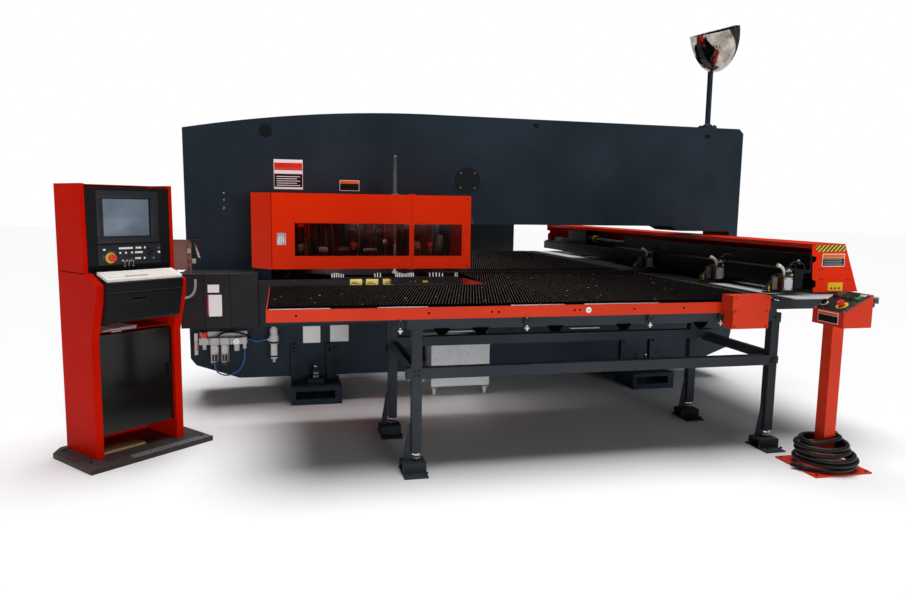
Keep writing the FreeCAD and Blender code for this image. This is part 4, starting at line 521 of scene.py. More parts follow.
def pedestal_cable():
    """The coil round the post's foot, and its ends at the connector and at the gland."""
    turns, points_a_turn = 5, 14
    steps = turns * points_a_turn
    middle = Vector((POST[0] - 8.0, POST[1] - 12.0))
    outward = 0.5 + 0.5 / math.cos(math.pi / points_a_turn)    # the spline cuts the corners by as much
    coil = []
    for k in range(steps + 1):
        point = coil_point(2 * math.pi * turns * k / steps, turns)
        flat = middle + (point.xy - middle) * outward
        coil.append(Vector((*flat, point.z)))
    tail = coil[0] + (coil[0] - coil[1]).normalized() * 31.2
    leaving = Vector(CABLE_EXIT)
    run = [leaving, leaving + Vector((0, -26, 0)), leaving + Vector((0, -60, -4))] + coil[::-1] + [tail]
    cable = line_of("pedestal_cable", run, 13.0, SHEATH, "frame", "cable_coil")
    cable.data.bevel_resolution = 5
    return cable


def clamp_air_hoses():
    made = []
    for number, clamp in enumerate(CLAMPS, 1):
        x, y = 3890.0, clamp - 48.0
        route = [(x - 34, y, 1045), (x - 34, y, 1085), (x - 22, y, 1125), (x + 12, y - 14, 1150),
                 (x + 50, y - 38, 1138), (x + 58, y - 46, 1112), (x + 58, y - 46, 1093)]
        hose = line_of(f"clamp_air_hose_{number}", route, 4.0, RUBBER, "clamp_bar",
                       "clamp_hoses")
        made.append((hose, route))
    return made


def service_hoses():
    y, z = SERVICE_LINE, 470.0
    first = [(195, y, z - 168), (195, y, z - 204), (216, y - 4, z - 240), (262, y - 8, z - 258),
             (318, y - 8, z - 250), (366, y - 6, z - 222), (396, y - 2, z - 170), (405, y, z - 120),
             (405, y, z - 60)]
    second = [(420, y, z + 6), (450, y, z + 6), (478, y - 2, z - 10), (508, y - 2, z - 14), (544, y, z),
              (570, y, z)]
    made = []
    for number, route in enumerate((first, second), 1):
        hose = line_of(f"service_air_hose_{number}", route, 5.0, BLUE_HOSE, "frame", "air_hoses")
        made.append((hose, route))
    return made


cable = pedestal_cable()
clamp_lines = clamp_air_hoses()
service_lines = service_hoses()


# ---------------------------------------------------------------- how pieces are made
def at(x, y, z=0.0):
    return Matrix.Translation((x, y, z))


def turn(axis, degrees):
    return Matrix.Rotation(math.radians(degrees), 4, axis)


TO_FRONT = turn("X", 90)            # turns a part's Z towards the operator
TO_BACK = turn("X", -90)
TO_LEFT = turn("Y", -90)
TO_RIGHT = turn("Y", 90)
CONSOLE = at(-329.0, -1463.0) @ turn("Z", 40.5)


def front(y, spots):
    """Places on a face that looks at the operator, from their X and Z."""
    return [at(x, y, z) @ TO_FRONT for x, z in spots]


def back(y, spots):
    """Places on a face that looks to the back, from their X and Z."""
    return [at(x, y, z) @ TO_BACK for x, z in spots]


def ring(count, radius, first=0.0):
    """Evenly spaced spots round the origin, the first one at an angle in degrees."""
    angles = [math.radians(first + 360.0 * k / count) for k in range(count)]
    return [(radius * math.cos(a), radius * math.sin(a)) for a in angles]


class Piece:
    """A piece of the machine, put together in millimetres from parts with a finish each."""

    def __init__(self, name, slot, body="frame", replaced=(), stand=Matrix(), sharp=32.0):
        self.name, self.slot, self.body, self.replaced = name, slot, body, replaced
        self.stand, self.sharp = stand, sharp
        self.shape = bmesh.new()
        self.finishes = []

    def __enter__(self):
        return self

    def __exit__(self, trouble, *details):
        if trouble is None:
            self.put_in_place()

    def put_in_place(self):
        """Puts the piece into the frame, on the body that it moves with."""
        bmesh.ops.transform(self.shape, matrix=TO_FRAME @ self.stand, verts=self.shape.verts)
        mesh = bpy.data.meshes.new(self.name)
        self.shape.to_mesh(mesh)
        self.shape.free()
        for finish in self.finishes:
            mesh.materials.append(finish)
        mesh.polygons.foreach_set("use_smooth", [True] * len(mesh.polygons))
        mesh.set_sharp_from_angle(angle=math.radians(self.sharp))
        made = bpy.data.objects.new(self.name, mesh)
        scene.collection.objects.link(made)
        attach(made, self.body)
        if self.replaced:
            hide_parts(*self.replaced)

    def take(self, part, finish, place=None, edge=0.0, segments=2):
        """Adds a closed part to the piece, its edges rounded and its place applied."""
        if edge:
            sharp = [e for e in part.edges if len(e.link_faces) == 2 and e.calc_face_angle(0.0) > 0.5]
            bmesh.ops.bevel(part, geom=sharp, offset=edge, offset_type="OFFSET", segments=segments,
                            profile=0.5, affect="EDGES", clamp_overlap=True, material=-1)
        if place is not None:
            bmesh.ops.transform(part, matrix=place, verts=part.verts)
        bmesh.ops.recalc_face_normals(part, faces=part.faces)
        if finish not in self.finishes:
            self.finishes.append(finish)
        for face in part.faces:
            face.material_index = self.finishes.index(finish)
        scratch = bpy.data.meshes.new("scratch")
        part.to_mesh(scratch)
        part.free()
        self.shape.from_mesh(scratch)
        bpy.data.meshes.remove(scratch)

    def block(self, low, high, finish, place=None, edge=1.5, segments=2):
        part = bmesh.new()
        middle = [(a + b) / 2 for a, b in zip(low, high)]
        size = [abs(b - a) for a, b in zip(low, high)]
        bmesh.ops.create_cube(part, size=1.0, matrix=at(*middle) @ Matrix.Diagonal((*size, 1.0)))
        self.take(part, finish, place, min(edge, 0.3 * min(size)), segments)

    def rod(self, start, end, radius, finish, sides=24, edge=0.0):
        start, end = Vector(start), Vector(end)
        run = end - start
        part = bmesh.new()
        stand = Matrix.Translation((start + end) / 2) @ run.to_track_quat("Z", "Y").to_matrix().to_4x4()
        bmesh.ops.create_cone(part, cap_ends=True, segments=sides, radius1=radius, radius2=radius,
                              depth=run.length, matrix=stand)
        self.take(part, finish, edge=edge)

    def plate(self, outline, thickness, finish, place=None, edge=0.0):
        """A flat sheet: its outline lies in the plane of X and Y and grows along Z."""
        part = bmesh.new()
        face = part.faces.new([part.verts.new((x, y, 0.0)) for x, y in outline])
        grown = bmesh.ops.extrude_face_region(part, geom=[face])
        verts = [g for g in grown["geom"] if isinstance(g, bmesh.types.BMVert)]
        bmesh.ops.translate(part, vec=(0.0, 0.0, thickness), verts=verts)
        self.take(part, finish, place, edge)

    def lathe(self, profile, finish, place=None, steps=32):
        """Turned part: its profile of radius and height goes round Z."""
        part = bmesh.new()
        row = [part.verts.new((r, 0.0, z)) for r, z in profile]
        line = [part.edges.new(pair) for pair in zip(row, row[1:])]
        bmesh.ops.spin(part, geom=row + line, cent=(0, 0, 0), axis=(0, 0, 1), dvec=(0, 0, 0),
                       angle=2 * math.pi, steps=steps, use_merge=True)
        bmesh.ops.remove_doubles(part, verts=part.verts, dist=1e-4)
        self.take(part, finish, place)

    def pipe(self, points, radius, finish, rounds=2, place=None):
        """Fixed pipe or harness along a smooth spline."""
        curve = bpy.data.curves.new("run", "CURVE")
        curve.dimensions = "3D"
        spline = curve.splines.new("NURBS")
        spline.points.add(len(points) - 1)
        for point, spot_on_run in zip(spline.points, points):
            point.co = (*spot_on_run, 1.0)
        spline.order_u = min(4, len(points))
        spline.use_endpoint_u = True
        curve.resolution_u = 5
        curve.bevel_depth = radius
        curve.bevel_resolution = rounds
        curve.use_fill_caps = True
        stand = bpy.data.objects.new("run", curve)
        scene.collection.objects.link(stand)
        bpy.context.view_layer.update()
        mesh = bpy.data.meshes.new_from_object(stand.evaluated_get(bpy.context.evaluated_depsgraph_get()))
        part = bmesh.new()
        part.from_mesh(mesh)
        bpy.data.objects.remove(stand)
        bpy.data.meshes.remove(mesh)
        self.take(part, finish, place)

    def screws(self, radius, height, finish, places):
        """Screw heads, each on its plane of X and Y, with a hollow for the key."""
        profile = [(0, 0), (radius, 0), (radius, height * 0.75), (radius * 0.86, height),
                   (radius * 0.5, height), (radius * 0.45, height * 0.4), (0, height * 0.4)]
        for place in places:
            self.lathe(profile, finish, place, steps=14)

    def nuts(self, radius, height, finish, places):
        for place in places:
            part = bmesh.new()
            bmesh.ops.create_cone(part, cap_ends=True, segments=6, radius1=radius, radius2=radius,
                                  depth=height, matrix=at(0, 0, height / 2))
            self.take(part, finish, place, edge=radius * 0.08)

    def label(self, x0, x1, z0, z1, y, bands, thickness=1.2, border=None):
        """Flat plate on a face that looks at the operator, with plain bands of colour from its top down."""
        if border:
            self.block((x0 - 3, y - thickness, z0 - 3), (x1 + 3, y, z1 + 3), border, edge=0.5)
            thickness += 0.5
        top = z1
        for share, finish in bands:
            low = top - (z1 - z0) * share
            self.block((x0, y - thickness, low), (x1, y, top), finish, edge=0.3)
            top = low


# ---------------------------------------------------------------- brush tables
def brush_field(name, outline, inside, replaced=()):
    """Nylon tufts in slanting rows on their thin black base."""
    with Piece(name, "brush", replaced=replaced, sharp=60.0) as field:
        field.plate(outline, 3.0, DARK_GAP, at(0, 0, 923))
        xs, ys = [x for x, _ in outline], [y for _, y in outline]
        part = bmesh.new()
        corner = Vector((min(xs) - 0.27 * (max(ys) - min(ys)), min(ys) + 4.0, 0.0))
        bmesh.ops.create_cone(part, cap_ends=True, segments=4, radius1=2.6, radius2=3.6, depth=11.6,
                              matrix=at(corner.x, corner.y, 931.8) @ turn("Z", 30))
        row = Vector((math.sin(ROW_LEAN) * TUFT_GAP, math.cos(ROW_LEAN) * TUFT_GAP, 0.0))
        line = Vector((ROW_GAP, 0.0, 0.0))
        for step, reach in ((row, (max(ys) - min(ys)) / row.y), (line, (max(xs) - corner.x) / line.x)):
            made = 1
            while made < reach:
                copied = bmesh.ops.duplicate(part, geom=part.verts[:] + part.edges[:] + part.faces[:])
                moved = [g for g in copied["geom"] if isinstance(g, bmesh.types.BMVert)]
                bmesh.ops.translate(part, vec=step * made, verts=moved)
                made *= 2
        spare = []
        for vert in part.verts:
            along = round((vert.co.y - corner.y) / row.y)
            across = round((vert.co.x - corner.x - along * row.x) / line.x)
            if not inside(corner.x + along * row.x + across * line.x, corner.y + along * row.y):
                spare.append(vert)
        bmesh.ops.delete(part, geom=spare, context="VERTS")
        field.take(part, BRISTLE)


def brush_fields():
    """The front and rear tables reach round the turret's covers, and a strip joins them inside the frame."""
    left, notch, right = 606.0, 2062.0, 3630.0
    front_end, cover_front, saddle = -1738.0, -675.0, 48.0
    rear, cover_rear, rear_end = 352.0, 1075.0, 3050.0
    rim = 6.0
    strip_left, strip_front, strip_rear = 1800.0, 104.0, 296.0

    def on_front_table(x, y):
        within = left + rim < x < right - rim and front_end + rim < y < saddle - rim
        return within and (x > notch + rim or y < cover_front - rim)

    def on_rear_table(x, y):
        within = left + rim < x < right - rim and rear + rim < y < rear_end - rim
        return within and (x > notch + rim or y > cover_rear + rim)

    def on_centre_strip(x, y):
        return strip_left + rim < x < right - rim and strip_front + 4 < y < strip_rear - 4

    front_outline = [(left, front_end), (right, front_end), (right, saddle), (notch, saddle),
                     (notch, cover_front), (left, cover_front)]
    rear_outline = [(left, cover_rear), (notch, cover_rear), (notch, rear), (right, rear), (right, rear_end),
                    (left, rear_end)]
    strip_outline = [(strip_left, strip_front), (right, strip_front), (right, strip_rear),
                     (strip_left, strip_rear)]
    brush_field("front_brush_tufts", front_outline, on_front_table, ("front_brushes",))
    brush_field("rear_brush_tufts", rear_outline, on_rear_table, ("rear_brushes",))
    brush_field("centre_brush_tufts", strip_outline, on_centre_strip)


# ---------------------------------------------------------------- convex mirror
def watch_mirror():
    """Quarter-bowl mirror with its rim flange, back plate and fork."""
    wide, tall = 211.0, 329.0
    bowl = at(4138.0, -62.0, 2926.0) @ turn("Y", -16.3) @ turn("X", 10.0)
    pivot = at(*POLE, 2700.0)
    with Piece("watch_mirror_bowl", "mirror", "mirror", ("convex_mirror",)) as piece:
        dome = bmesh.new()
        bmesh.ops.create_uvsphere(dome, u_segments=96, v_segments=48, radius=1.0,
                                  matrix=Matrix.Diagonal((wide, wide, tall, 1.0)))
        for normal in (Vector((0, 0, 1)), Vector((0, 1, 0))):
            bmesh.ops.bisect_plane(dome, geom=dome.verts[:] + dome.edges[:] + dome.faces[:], plane_co=-normal,
                                   plane_no=normal, clear_outer=True)
        bmesh.ops.recalc_face_normals(dome, faces=dome.faces)
        bmesh.ops.solidify(dome, geom=dome.faces, thickness=3.5)
        # The bowl's streaked colour is a painted reflection.
        piece.take(dome, SILVERED_PAINTED_REFLECTION, bowl)
        piece.plate([(-212, -14), (212, -14), (212, 9), (-212, 9)], 4.0, SATIN_ALU, bowl @ at(0, 0, -4),
                    edge=0.8)
        half = [math.radians(a) for a in range(180, -1, -6)]
        piece.plate([((wide - 3) * math.cos(a), -(tall - 2) * math.sin(a)) for a in half], 4.0, OXIDE,
                    bowl @ TO_FRONT)
        piece.pipe([((wide - 2) * math.cos(a), -3.0, -(tall - 1) * math.sin(a))
                    for a in (math.radians(15 * k) for k in range(13))], 3.5, SATIN_ALU, place=bowl)
        for inner, outer in ((-32, -24), (24, 32)):
            piece.block((inner, -96, -16), (outer, 18, 16), OXIDE, pivot)
        piece.block((-32, -104, -16), (32, -64, 16), OXIDE, pivot)
        piece.nuts(13, 7, SATIN_ALU, (pivot @ at(-32, 0) @ TO_LEFT, pivot @ at(32, 0) @ TO_RIGHT))


# ---------------------------------------------------------------- turret cover
def door_gap_shade_strip():
    with Piece("door_gap_shade_strip", "black_plastic") as gap:
        # Near-black strip standing for the shade in the door's gap.
        gap.block((615.6, -650.4, 1041), (618.9, -640, 1538), DARK_GAP, edge=0.2)


def tool_air_lines():
    """Hoses, valves and their bars, which show through the smoked windows."""
    sways = random.Random(5)
    with Piece("tool_air_lines", "black_plastic") as inside:
        for x, radius, finish in ((842, 6, BRASS), (858, 6, BRASS), (905, 9, RUBBER), (1010, 7, OXIDE),
                                  (1105, 8, RUBBER), (1196, 5, SATIN_ALU), (1330, 8, RUBBER),
                                  (1392, 5, BRASS), (1640, 5, SATIN_ALU), (1740, 9, RUBBER),
                                  (1850, 7, RUBBER)):
            sway = sways.uniform(-26, 26)
            inside.pipe([(x, -459, 1360), (x, -462, 1340), (x + sway, -480, 1270),
                         (x + sway * 0.5, -476, 1180), (x, -462, 1130), (x, -459, 1108)], radius, finish)
        for x, z, wide, tall, finish in ((790, 1150, 34, 46, PLATE_GREY), (786, 1312, 46, 22, GLOSS_RED),
                                         (930, 1140, 60, 34, IVORY), (1060, 1150, 70, 30, SATIN_ALU),
                                         (1150, 1170, 40, 34, GLOSS_RED), (1236, 1146, 90, 20, PLATE_GREY),
                                         (1372, 1200, 26, 28, IVORY), (1590, 1160, 44, 60, SATIN_ALU),
                                         (1690, 1170, 34, 40, GLOSS_RED), (1770, 1180, 30, 80, PLATE_GREY)):
            inside.block((x, -520, z), (x + wide, -470, z + tall), finish, edge=4)
            inside.rod((x + wide / 2, -495, z - 26), (x + wide / 2, -495, z), 6, BRASS, sides=12)
        inside.block((640, -466, 1352), (1910, -452, 1384), OXIDE)
        inside.block((640, -466, 1100), (1910, -452, 1112), OXIDE)


def latch_dish():
    with Piece("latch_dish", "alu", "door_latch") as latch:
        latch.block((656, -666.5, 1204), (704, -663.2, 1271), SATIN_ALU)
        for x in (664, 677, 690):
            latch.block((x, -668.0, 1212), (x + 6, -666.4, 1263), PLATE_WHITE, edge=0.7)
        latch.rod((697, -669.0, 1258), (697, -666.0, 1258), 4, CHROME)


def cover_screws():
    with Piece("cover_screws", "black_steel") as screws:
        screws.screws(6, 3, OXIDE, front(-650, product((1940,), (1060, 1290, 1518))))


def inner_tool_ring():
    """Second ring of tool stations on the upper turret, small guides with rings and caps."""
    guide = [(0, 1075), (27, 1075), (27, 1082), (22, 1084), (22, 1170), (19, 1174), (19, 1196), (14, 1200),
             (0, 1200)]
    with Piece("inner_tool_ring", "turret_steel", "upper_turret", stand=at(*TURRET)) as piece:
        for x, y in ring(10, 330, first=12):
            piece.lathe(guide, TURRET_STEEL, at(x, y), steps=16)
        piece.screws(9, 8, OXIDE, [at(x, y, 1075) for x, y in ring(15, 395, first=math.degrees(0.21))])
        piece.lathe([(100, 1075), (150, 1075), (150, 1090), (100, 1096)], TURRET_STEEL, steps=40)


def under_cover_pins():
    """Rows of split pins that show in the gap under the turret cover, coloured white as a painted highlight
    on their steel.
    """
    with Piece("under_cover_pins", "black_steel") as pins:
        for x0, x1, gap in ((1030, 1110, 16), (1338, 1396, 20), (1492, 1634, 13), (1746, 1846, 24),
                            (1940, 1962, 14)):
            for k, x in enumerate(range(x0, x1 + 1, gap)):
                # White pins: a painted highlight on steel that lies in shade.
                pins.rod((x, -328, 948), (x - 1.5, -326, 976 + 5 * math.sin(0.9 * k)), 3.0, PLATE_WHITE,
                         sides=8)
        pins.block((1024, -331, 940), (1966, -323, 949), OXIDE, edge=0.6)


def slide_plate_edge():
    with Piece("slide_plate_edge", "alu") as rail:
        rail.block((3628, -1700, 926), (3633, 40, 936), SATIN_ALU, edge=0.8)


# ---------------------------------------------------------------- bridge frame and lower cover
def frame_sign_plates():
    """Bare plates in plain bands of colour on the frame's face and on the lower cover."""
    face = LOWER_COVER_FACE
    with Piece("frame_sign_plates", "white_plastic") as plates:
        plates.label(634, 837, 1579, 1790, 0, [(0.10, PLATE_WHITE), (0.26, GLOSS_RED), (0.12, PLATE_WHITE),
                                               (0.46, MATT_BLACK), (0.06, PLATE_WHITE)], border=PLATE_WHITE)
        for row in range(5):
            plates.block((650, -2.4, 1602 + 16 * row), (820 - 22 * (row % 2), -1.6, 1607 + 16 * row),
                         PLATE_WHITE, edge=0.2)
        plates.label(1114, 1256, 1576, 1649, 0, [(0.32, SIGNAL_ORANGE), (0.68, MATT_BLACK)],
                     border=PLATE_WHITE)
        plates.label(829, 959, 414, 543, 0, [(1, PLATE_WHITE)])
        plates.label(1034, 1175, 419, 571, 0, [(1, PLATE_WHITE)])
        plates.label(179, 255, 851, 906, face, [(1, PLATE_WHITE)])
        plates.label(184, 271, 684, 835, face, [(1, PLATE_WHITE)])
        plates.label(176, 184, 700, 836, face, [(1, GLOSS_RED)], thickness=0.8)
        plates.rod((1320, -6, 640), (1320, 0, 640), 12, PLATE_WHITE)
        for x0, x1 in ((1156, 1250), (1271, 1366), (1395, 1483)):
            plates.label(x0, x1 - 6, 892, 936, face, [(1, LABEL_YELLOW)])
            for z, short in ((902, 30), (912, 44)):
                plates.block((x0 + 12, face - 2.2, z), (x1 - short, face - 1, z + 4), MATT_BLACK, edge=0.2)
        plates.label(1690, 1729, 908, 921, face, [(1, SIGNAL_YELLOW)])


def frame_hardware():
    """Plugs, screws and the foot of the mirror's pole."""
    with Piece("frame_hardware", "black_steel") as hardware:
        hardware.screws(7, 4, CHROME, front(0, ((277, 1540), (276, 1489), (274, 1431))))
        for place in front(0, ((2660, 2118), (4189, 2087))):
            hardware.lathe([(0, 0), (20, 0), (20, 8), (15, 13), (0, 13)], MATT_BLACK, place, steps=18)
        hardware.screws(6, 3, SATIN_ALU, front(-8, [(2104 + x, 1671 + z) for x, z in ring(4, 80, first=45)]))
        hardware.lathe([(0, 1.0), (30, 1.0), (34, 0), (37, 0), (37, 2.5), (30, 3.5), (26, 1.4), (0, 1.4)],
                       DARK_GAP, at(1500, 0, 360) @ TO_FRONT, steps=28)
        hardware.nuts(10, 8, OXIDE, [at(POLE[0] + x, y, 2176) for x, y in product((-46, 46), (18, 84))])
        hardware.lathe([(23, 2176), (40, 2176), (40, 2182), (23, 2196)], OXIDE, at(*POLE), steps=28)
        hardware.screws(9, 6, OXIDE, back(400, [(700 + 400 * k, 700 if k % 2 else 640) for k in range(9)]))


def lower_cover_seams():
    face = LOWER_COVER_FACE
    with Piece("lower_cover_seams", "dark_paint") as box:
        box.block((-2, face - 3, 975), (521, -1, 981), LEG_ENAMEL, edge=2)
        for x in (151, 325):
            box.block((x, face - 1.2, 606), (x + 2.5, face, 973), DARK_GAP, edge=0.3)
        box.block((517, face - 1.2, 604), (520.5, face + 2, 974), DARK_GAP, edge=0.3)
        box.screws(5, 2.5, OXIDE, front(face, product((14, 140, 338, 506), (618, 960))))
        for x in (1250, 1616):
            box.block((x - 1.2, face - 1.2, 606), (x + 1.2, face, 934), DARK_GAP, edge=0.3)
        box.screws(4.5, 2, SATIN_ALU, front(face, product((1255, 1600, 1632, 1985), (918,))))


def notch_guard():
    """Small wedge at the notch between the cover and the bristles, with its scale."""
    with Piece("notch_guard", "red_paint") as wedge:
        wedge.plate([(0, 0), (0, 62), (168, 6), (168, 0)], 2.0, MACHINE_RED, at(1990, -346, 876) @ TO_FRONT)
        wedge.plate([(26, 8), (26, 42), (96, 18), (96, 8)], 1.4, BRASS, at(1990, -348, 876) @ TO_FRONT)
        for k in range(6):
            wedge.block((2036 + 18 * k, -350.4, 884), (2044 + 18 * k, -349.2, 900 - 2 * k), SIGNAL_YELLOW,
                        edge=0.3)


# ---------------------------------------------------------------- front table
def fascia_fittings():
    """Plugs and the round cap on the red fascia, and the bright strips along its top."""
    cap = at(2384, FASCIA_FACE, 892) @ TO_FRONT
    with Piece("fascia_fittings", "alu") as piece:
        for x, z in ((751, 890), (1455, 892), (1811, 891), (1851, 890), (2301, 892), (2334, 893), (2672, 893),
                     (2990, 893), (3290, 893)):
            piece.lathe([(0, 0.2), (4, 0.2), (6, 1.5), (9, 1.5), (10, 0), (0, 0)], TRIM_RED,
                        at(x, FASCIA_FACE, z) @ TO_FRONT, steps=18)
            piece.lathe([(0, 1.2), (6, 1.2), (6, 1.7), (0, 2.0)], DARK_GAP,
                        at(x, FASCIA_FACE - 0.2, z) @ TO_FRONT, steps=14)
        piece.lathe([(0, 0), (16, 0), (17, 4), (14, 8), (7, 9), (0, 9)], SATIN_WHITE, cap, steps=28)
        piece.lathe([(0, 9), (5, 9), (5, 11), (0, 11)], PLATE_GREY, cap, steps=12)
        for x0, x1 in ((612, 928), (1178, 1450), (1920, 2240), (2360, 2830)):
            piece.block((x0, -1741, 923), (x1, -1730, 927), SATIN_ALU, edge=1)
        piece.block((596.5, -1500, 872), (598.5, -1466, 896), PLATE_WHITE, edge=0.5)


def deck_levelling():
    """Levelling screws under the deck's front beam, and the dark openings between them."""
    y = -1749
    with Piece("deck_levelling", "dark_paint") as under:
        for x in (1298, 2015, 2773, 3240):
            under.block((x - 20, y - 8, 824), (x + 20, -1738, 846), OXIDE, edge=1)
            under.block((x - 20, y + 5, 802), (x + 20, -1738, 857), OXIDE, edge=1)
            under.rod((x, y, 782), (x, y, 856), 6, CHROME, sides=14)
            under.nuts(12, 8, OXIDE, [at(x, y, 846)])
            under.nuts(12, 9, OXIDE, [at(x, y, 814)])
            under.lathe([(0, 0), (15, 0), (15, 3), (0, 4)], PLATE_WHITE, at(x, y, 794), steps=20)
            under.nuts(12, 9, CHROME, [at(x, y, 798)])
        for x in (1480, 1700, 2140, 2560, 3060):
            under.plate([(0, 0), (96, 0), (70, -34), (26, -34)], 8, DARK_GAP, at(x, -1739, 805) @ TO_FRONT)
        for x0, x1 in ((1560, 1740), (2290, 2470)):
            under.block((x0, -1722, 780), (x1, -1690, 786), PLATE_GREY, edge=1)
        under.block((1786, -216, 470), (2250, -204, 478), BOARD, edge=1)


def table_edge_and_lines():
    """Steel strip along the bristles' right edge, and three clipped lines under the deck."""
    with Piece("table_edge_and_lines", "alu") as table:
        table.block((3630.5, -1736, 923.2), (3644, 3046, 927), GROUND_STEEL, edge=0.8)
        table.screws(4, 1.6, OXIDE, [at(3637, -1680 + 200 * k, 927) for k in range(24)])
        for k, finish in enumerate((GLOSS_RED, BLUE_HOSE, RUBBER)):
            y = -1680 + 12 * k
            table.pipe([(2860, y, 846), (3230, y, 846), (3290, y, 846), (3300, y, 850), (3300, y, 872)],
                       4.5, finish)
        for x in (2890, 3060, 3220):
            table.block((x, -1688, 840), (x + 12, -1648, 852), OXIDE, edge=1)


def corner_box_lid():
    with Piece("corner_box_lid", "red_paint") as lid:
        lid.block((3240, -1855.9, 890), (3495.8, -1746, 895), TRIM_RED, edge=1)
        lid.screws(5, 1.8, OXIDE, front(-1854, product((3262, 3474), (790, 880, 960))))


def leg_hardware():
    """Levelling nuts and floor bolts of the tables' eight legs, and bolts of the front legs."""
    front_legs = ((1367, -1738), (3601, -1738))
    legs = front_legs + ((1337, -1050), (3478, -1050), (1367, 1500), (3601, 1500), (1367, 2970), (3601, 2970))
    with Piece("leg_hardware", "chrome") as piece:
        for x, y in legs:
            middle = at(x + 27.5, y + 27.5)
            piece.nuts(27, 20, CHROME, [middle @ at(0, 0, 84)])
            piece.lathe([(16, 76), (30, 76), (30, 80), (16, 81)], SATIN_ALU, middle, steps=24)
            piece.nuts(9, 7, OXIDE, [middle @ at(dx, dy, 12) for dy, dx in product((-95, 85), (-46.2, 46.2))])
        for x, y in front_legs:
            piece.nuts(8, 6, OXIDE, front(y, [(x + dx, z) for z, dx in product((540, 568), (14, 41))]))
        for z, tall in ((790, 60), (532, 44)):
            middle = z + tall / 2
            piece.block((3656, -1734, z), (3668, -1690, z + tall), LEG_ENAMEL, edge=1)
            piece.nuts(13, 9, OXIDE, [at(3668, -1712, middle) @ TO_RIGHT])
            piece.nuts(12, 8, OXIDE, front(-1738, [(3628, middle)]))


def machine_foot_bolts():
    """Levelling screws of the bridge frame's four feet and the bolts of their straps."""
    with Piece("machine_foot_bolts", "black_steel") as piece:
        for x in (735, 3465):
            middle = x + 183.5
            for y, strap, facing in ((-110, -30, front), (510, 430, back)):
                piece.rod((middle, y, 60), (middle, y, 262), 13, CHROME, sides=18)
                piece.nuts(23, 18, SATIN_ALU, [at(middle, y, 168)])
                piece.nuts(23, 12, SATIN_ALU, [at(middle, y, 198)])
                piece.nuts(12, 9, OXIDE, facing(strap, product((x + 24, x + 343), (150, 250, 370))))


# ---------------------------------------------------------------- carriage
def carriage_end():
    """Stripes, bare plates and screws on the carriage cover's front end, and the sockets behind it."""
    face = END_CAP_FACE
    with Piece("end_cap_stripes", "red_paint", "carriage") as stripes:
        stripes.plate([(4078, 1208), (4074, 1251), (4290, 1256), (4310, 1212)], 1.6, STRIPES,
                      at(0, face, 0) @ TO_FRONT)
    with Piece("end_cap_plates", "red_paint", "carriage") as plates:
        plates.block((4128, face - 2.2, 1112), (4300, face, 1196), PLATE_WHITE, edge=1)
        plates.block((4132, face - 3.2, 1168), (4296, face - 2, 1192), SIGNAL_ORANGE, edge=0.4)
        plates.block((4132, face - 3.2, 1116), (4296, face - 2, 1166), MATT_BLACK, edge=0.4)
        for row in range(4):
            plates.block((4140, face - 3.8, 1122 + 11 * row),
                         (4285 - 9 * (row % 2), face - 3, 1126 + 11 * row), PLATE_GREY, edge=0.2)
        plates.block((4186, face - 2.2, 953), (4300, face, 1006), SIGNAL_YELLOW, edge=1)
        for x in (4206, 4236, 4266):
            plates.block((x, face - 3, 962), (x + 14, face - 2, 974), MATT_BLACK, edge=0.3)
        plates.screws(5.5, 2.5, OXIDE, front(face, ((4110, 1094), (4132, 1094), (4312, 1094), (4336, 1094),
                                                    (4122, 1026), (4146, 1026), (4328, 1026), (4352, 1026))))
    with Piece("bar_end_connectors", "black_plastic", "carriage") as sockets:
        for k in range(8):
            x = 3985 + 13 * k
            sockets.rod((x, -1441, 1079), (x, -1462, 1079), 5, PLATE_GREY, sides=12)
            sockets.rod((x, -1452, 1079), (x, -1468, 1079), 3.5, RUBBER, sides=10)
        for place in front(-1448, ((3998, 1128), (4018, 1130), (3990, 1146), (4012, 1147), (4034, 1128))):
            sockets.lathe([(0, 0), (8, 0), (8, 12), (5, 16), (0, 16)], IVORY, place, steps=14)


def screw_end_ring():
    x, y, z = 4080, 1903, 1135
    with Piece("screw_end_ring", "black_steel", "carriage") as piece:
        piece.lathe([(26, 0), (41, 0), (41, 8), (36, 11), (26, 11)], SIGNAL_YELLOW, at(x, y, z) @ TO_FRONT,
                    steps=36)
        piece.screws(3.5, 3, OXIDE, front(y - 11, [(x + dx, z + dz) for dx, dz in ring(6, 34, first=15)]))


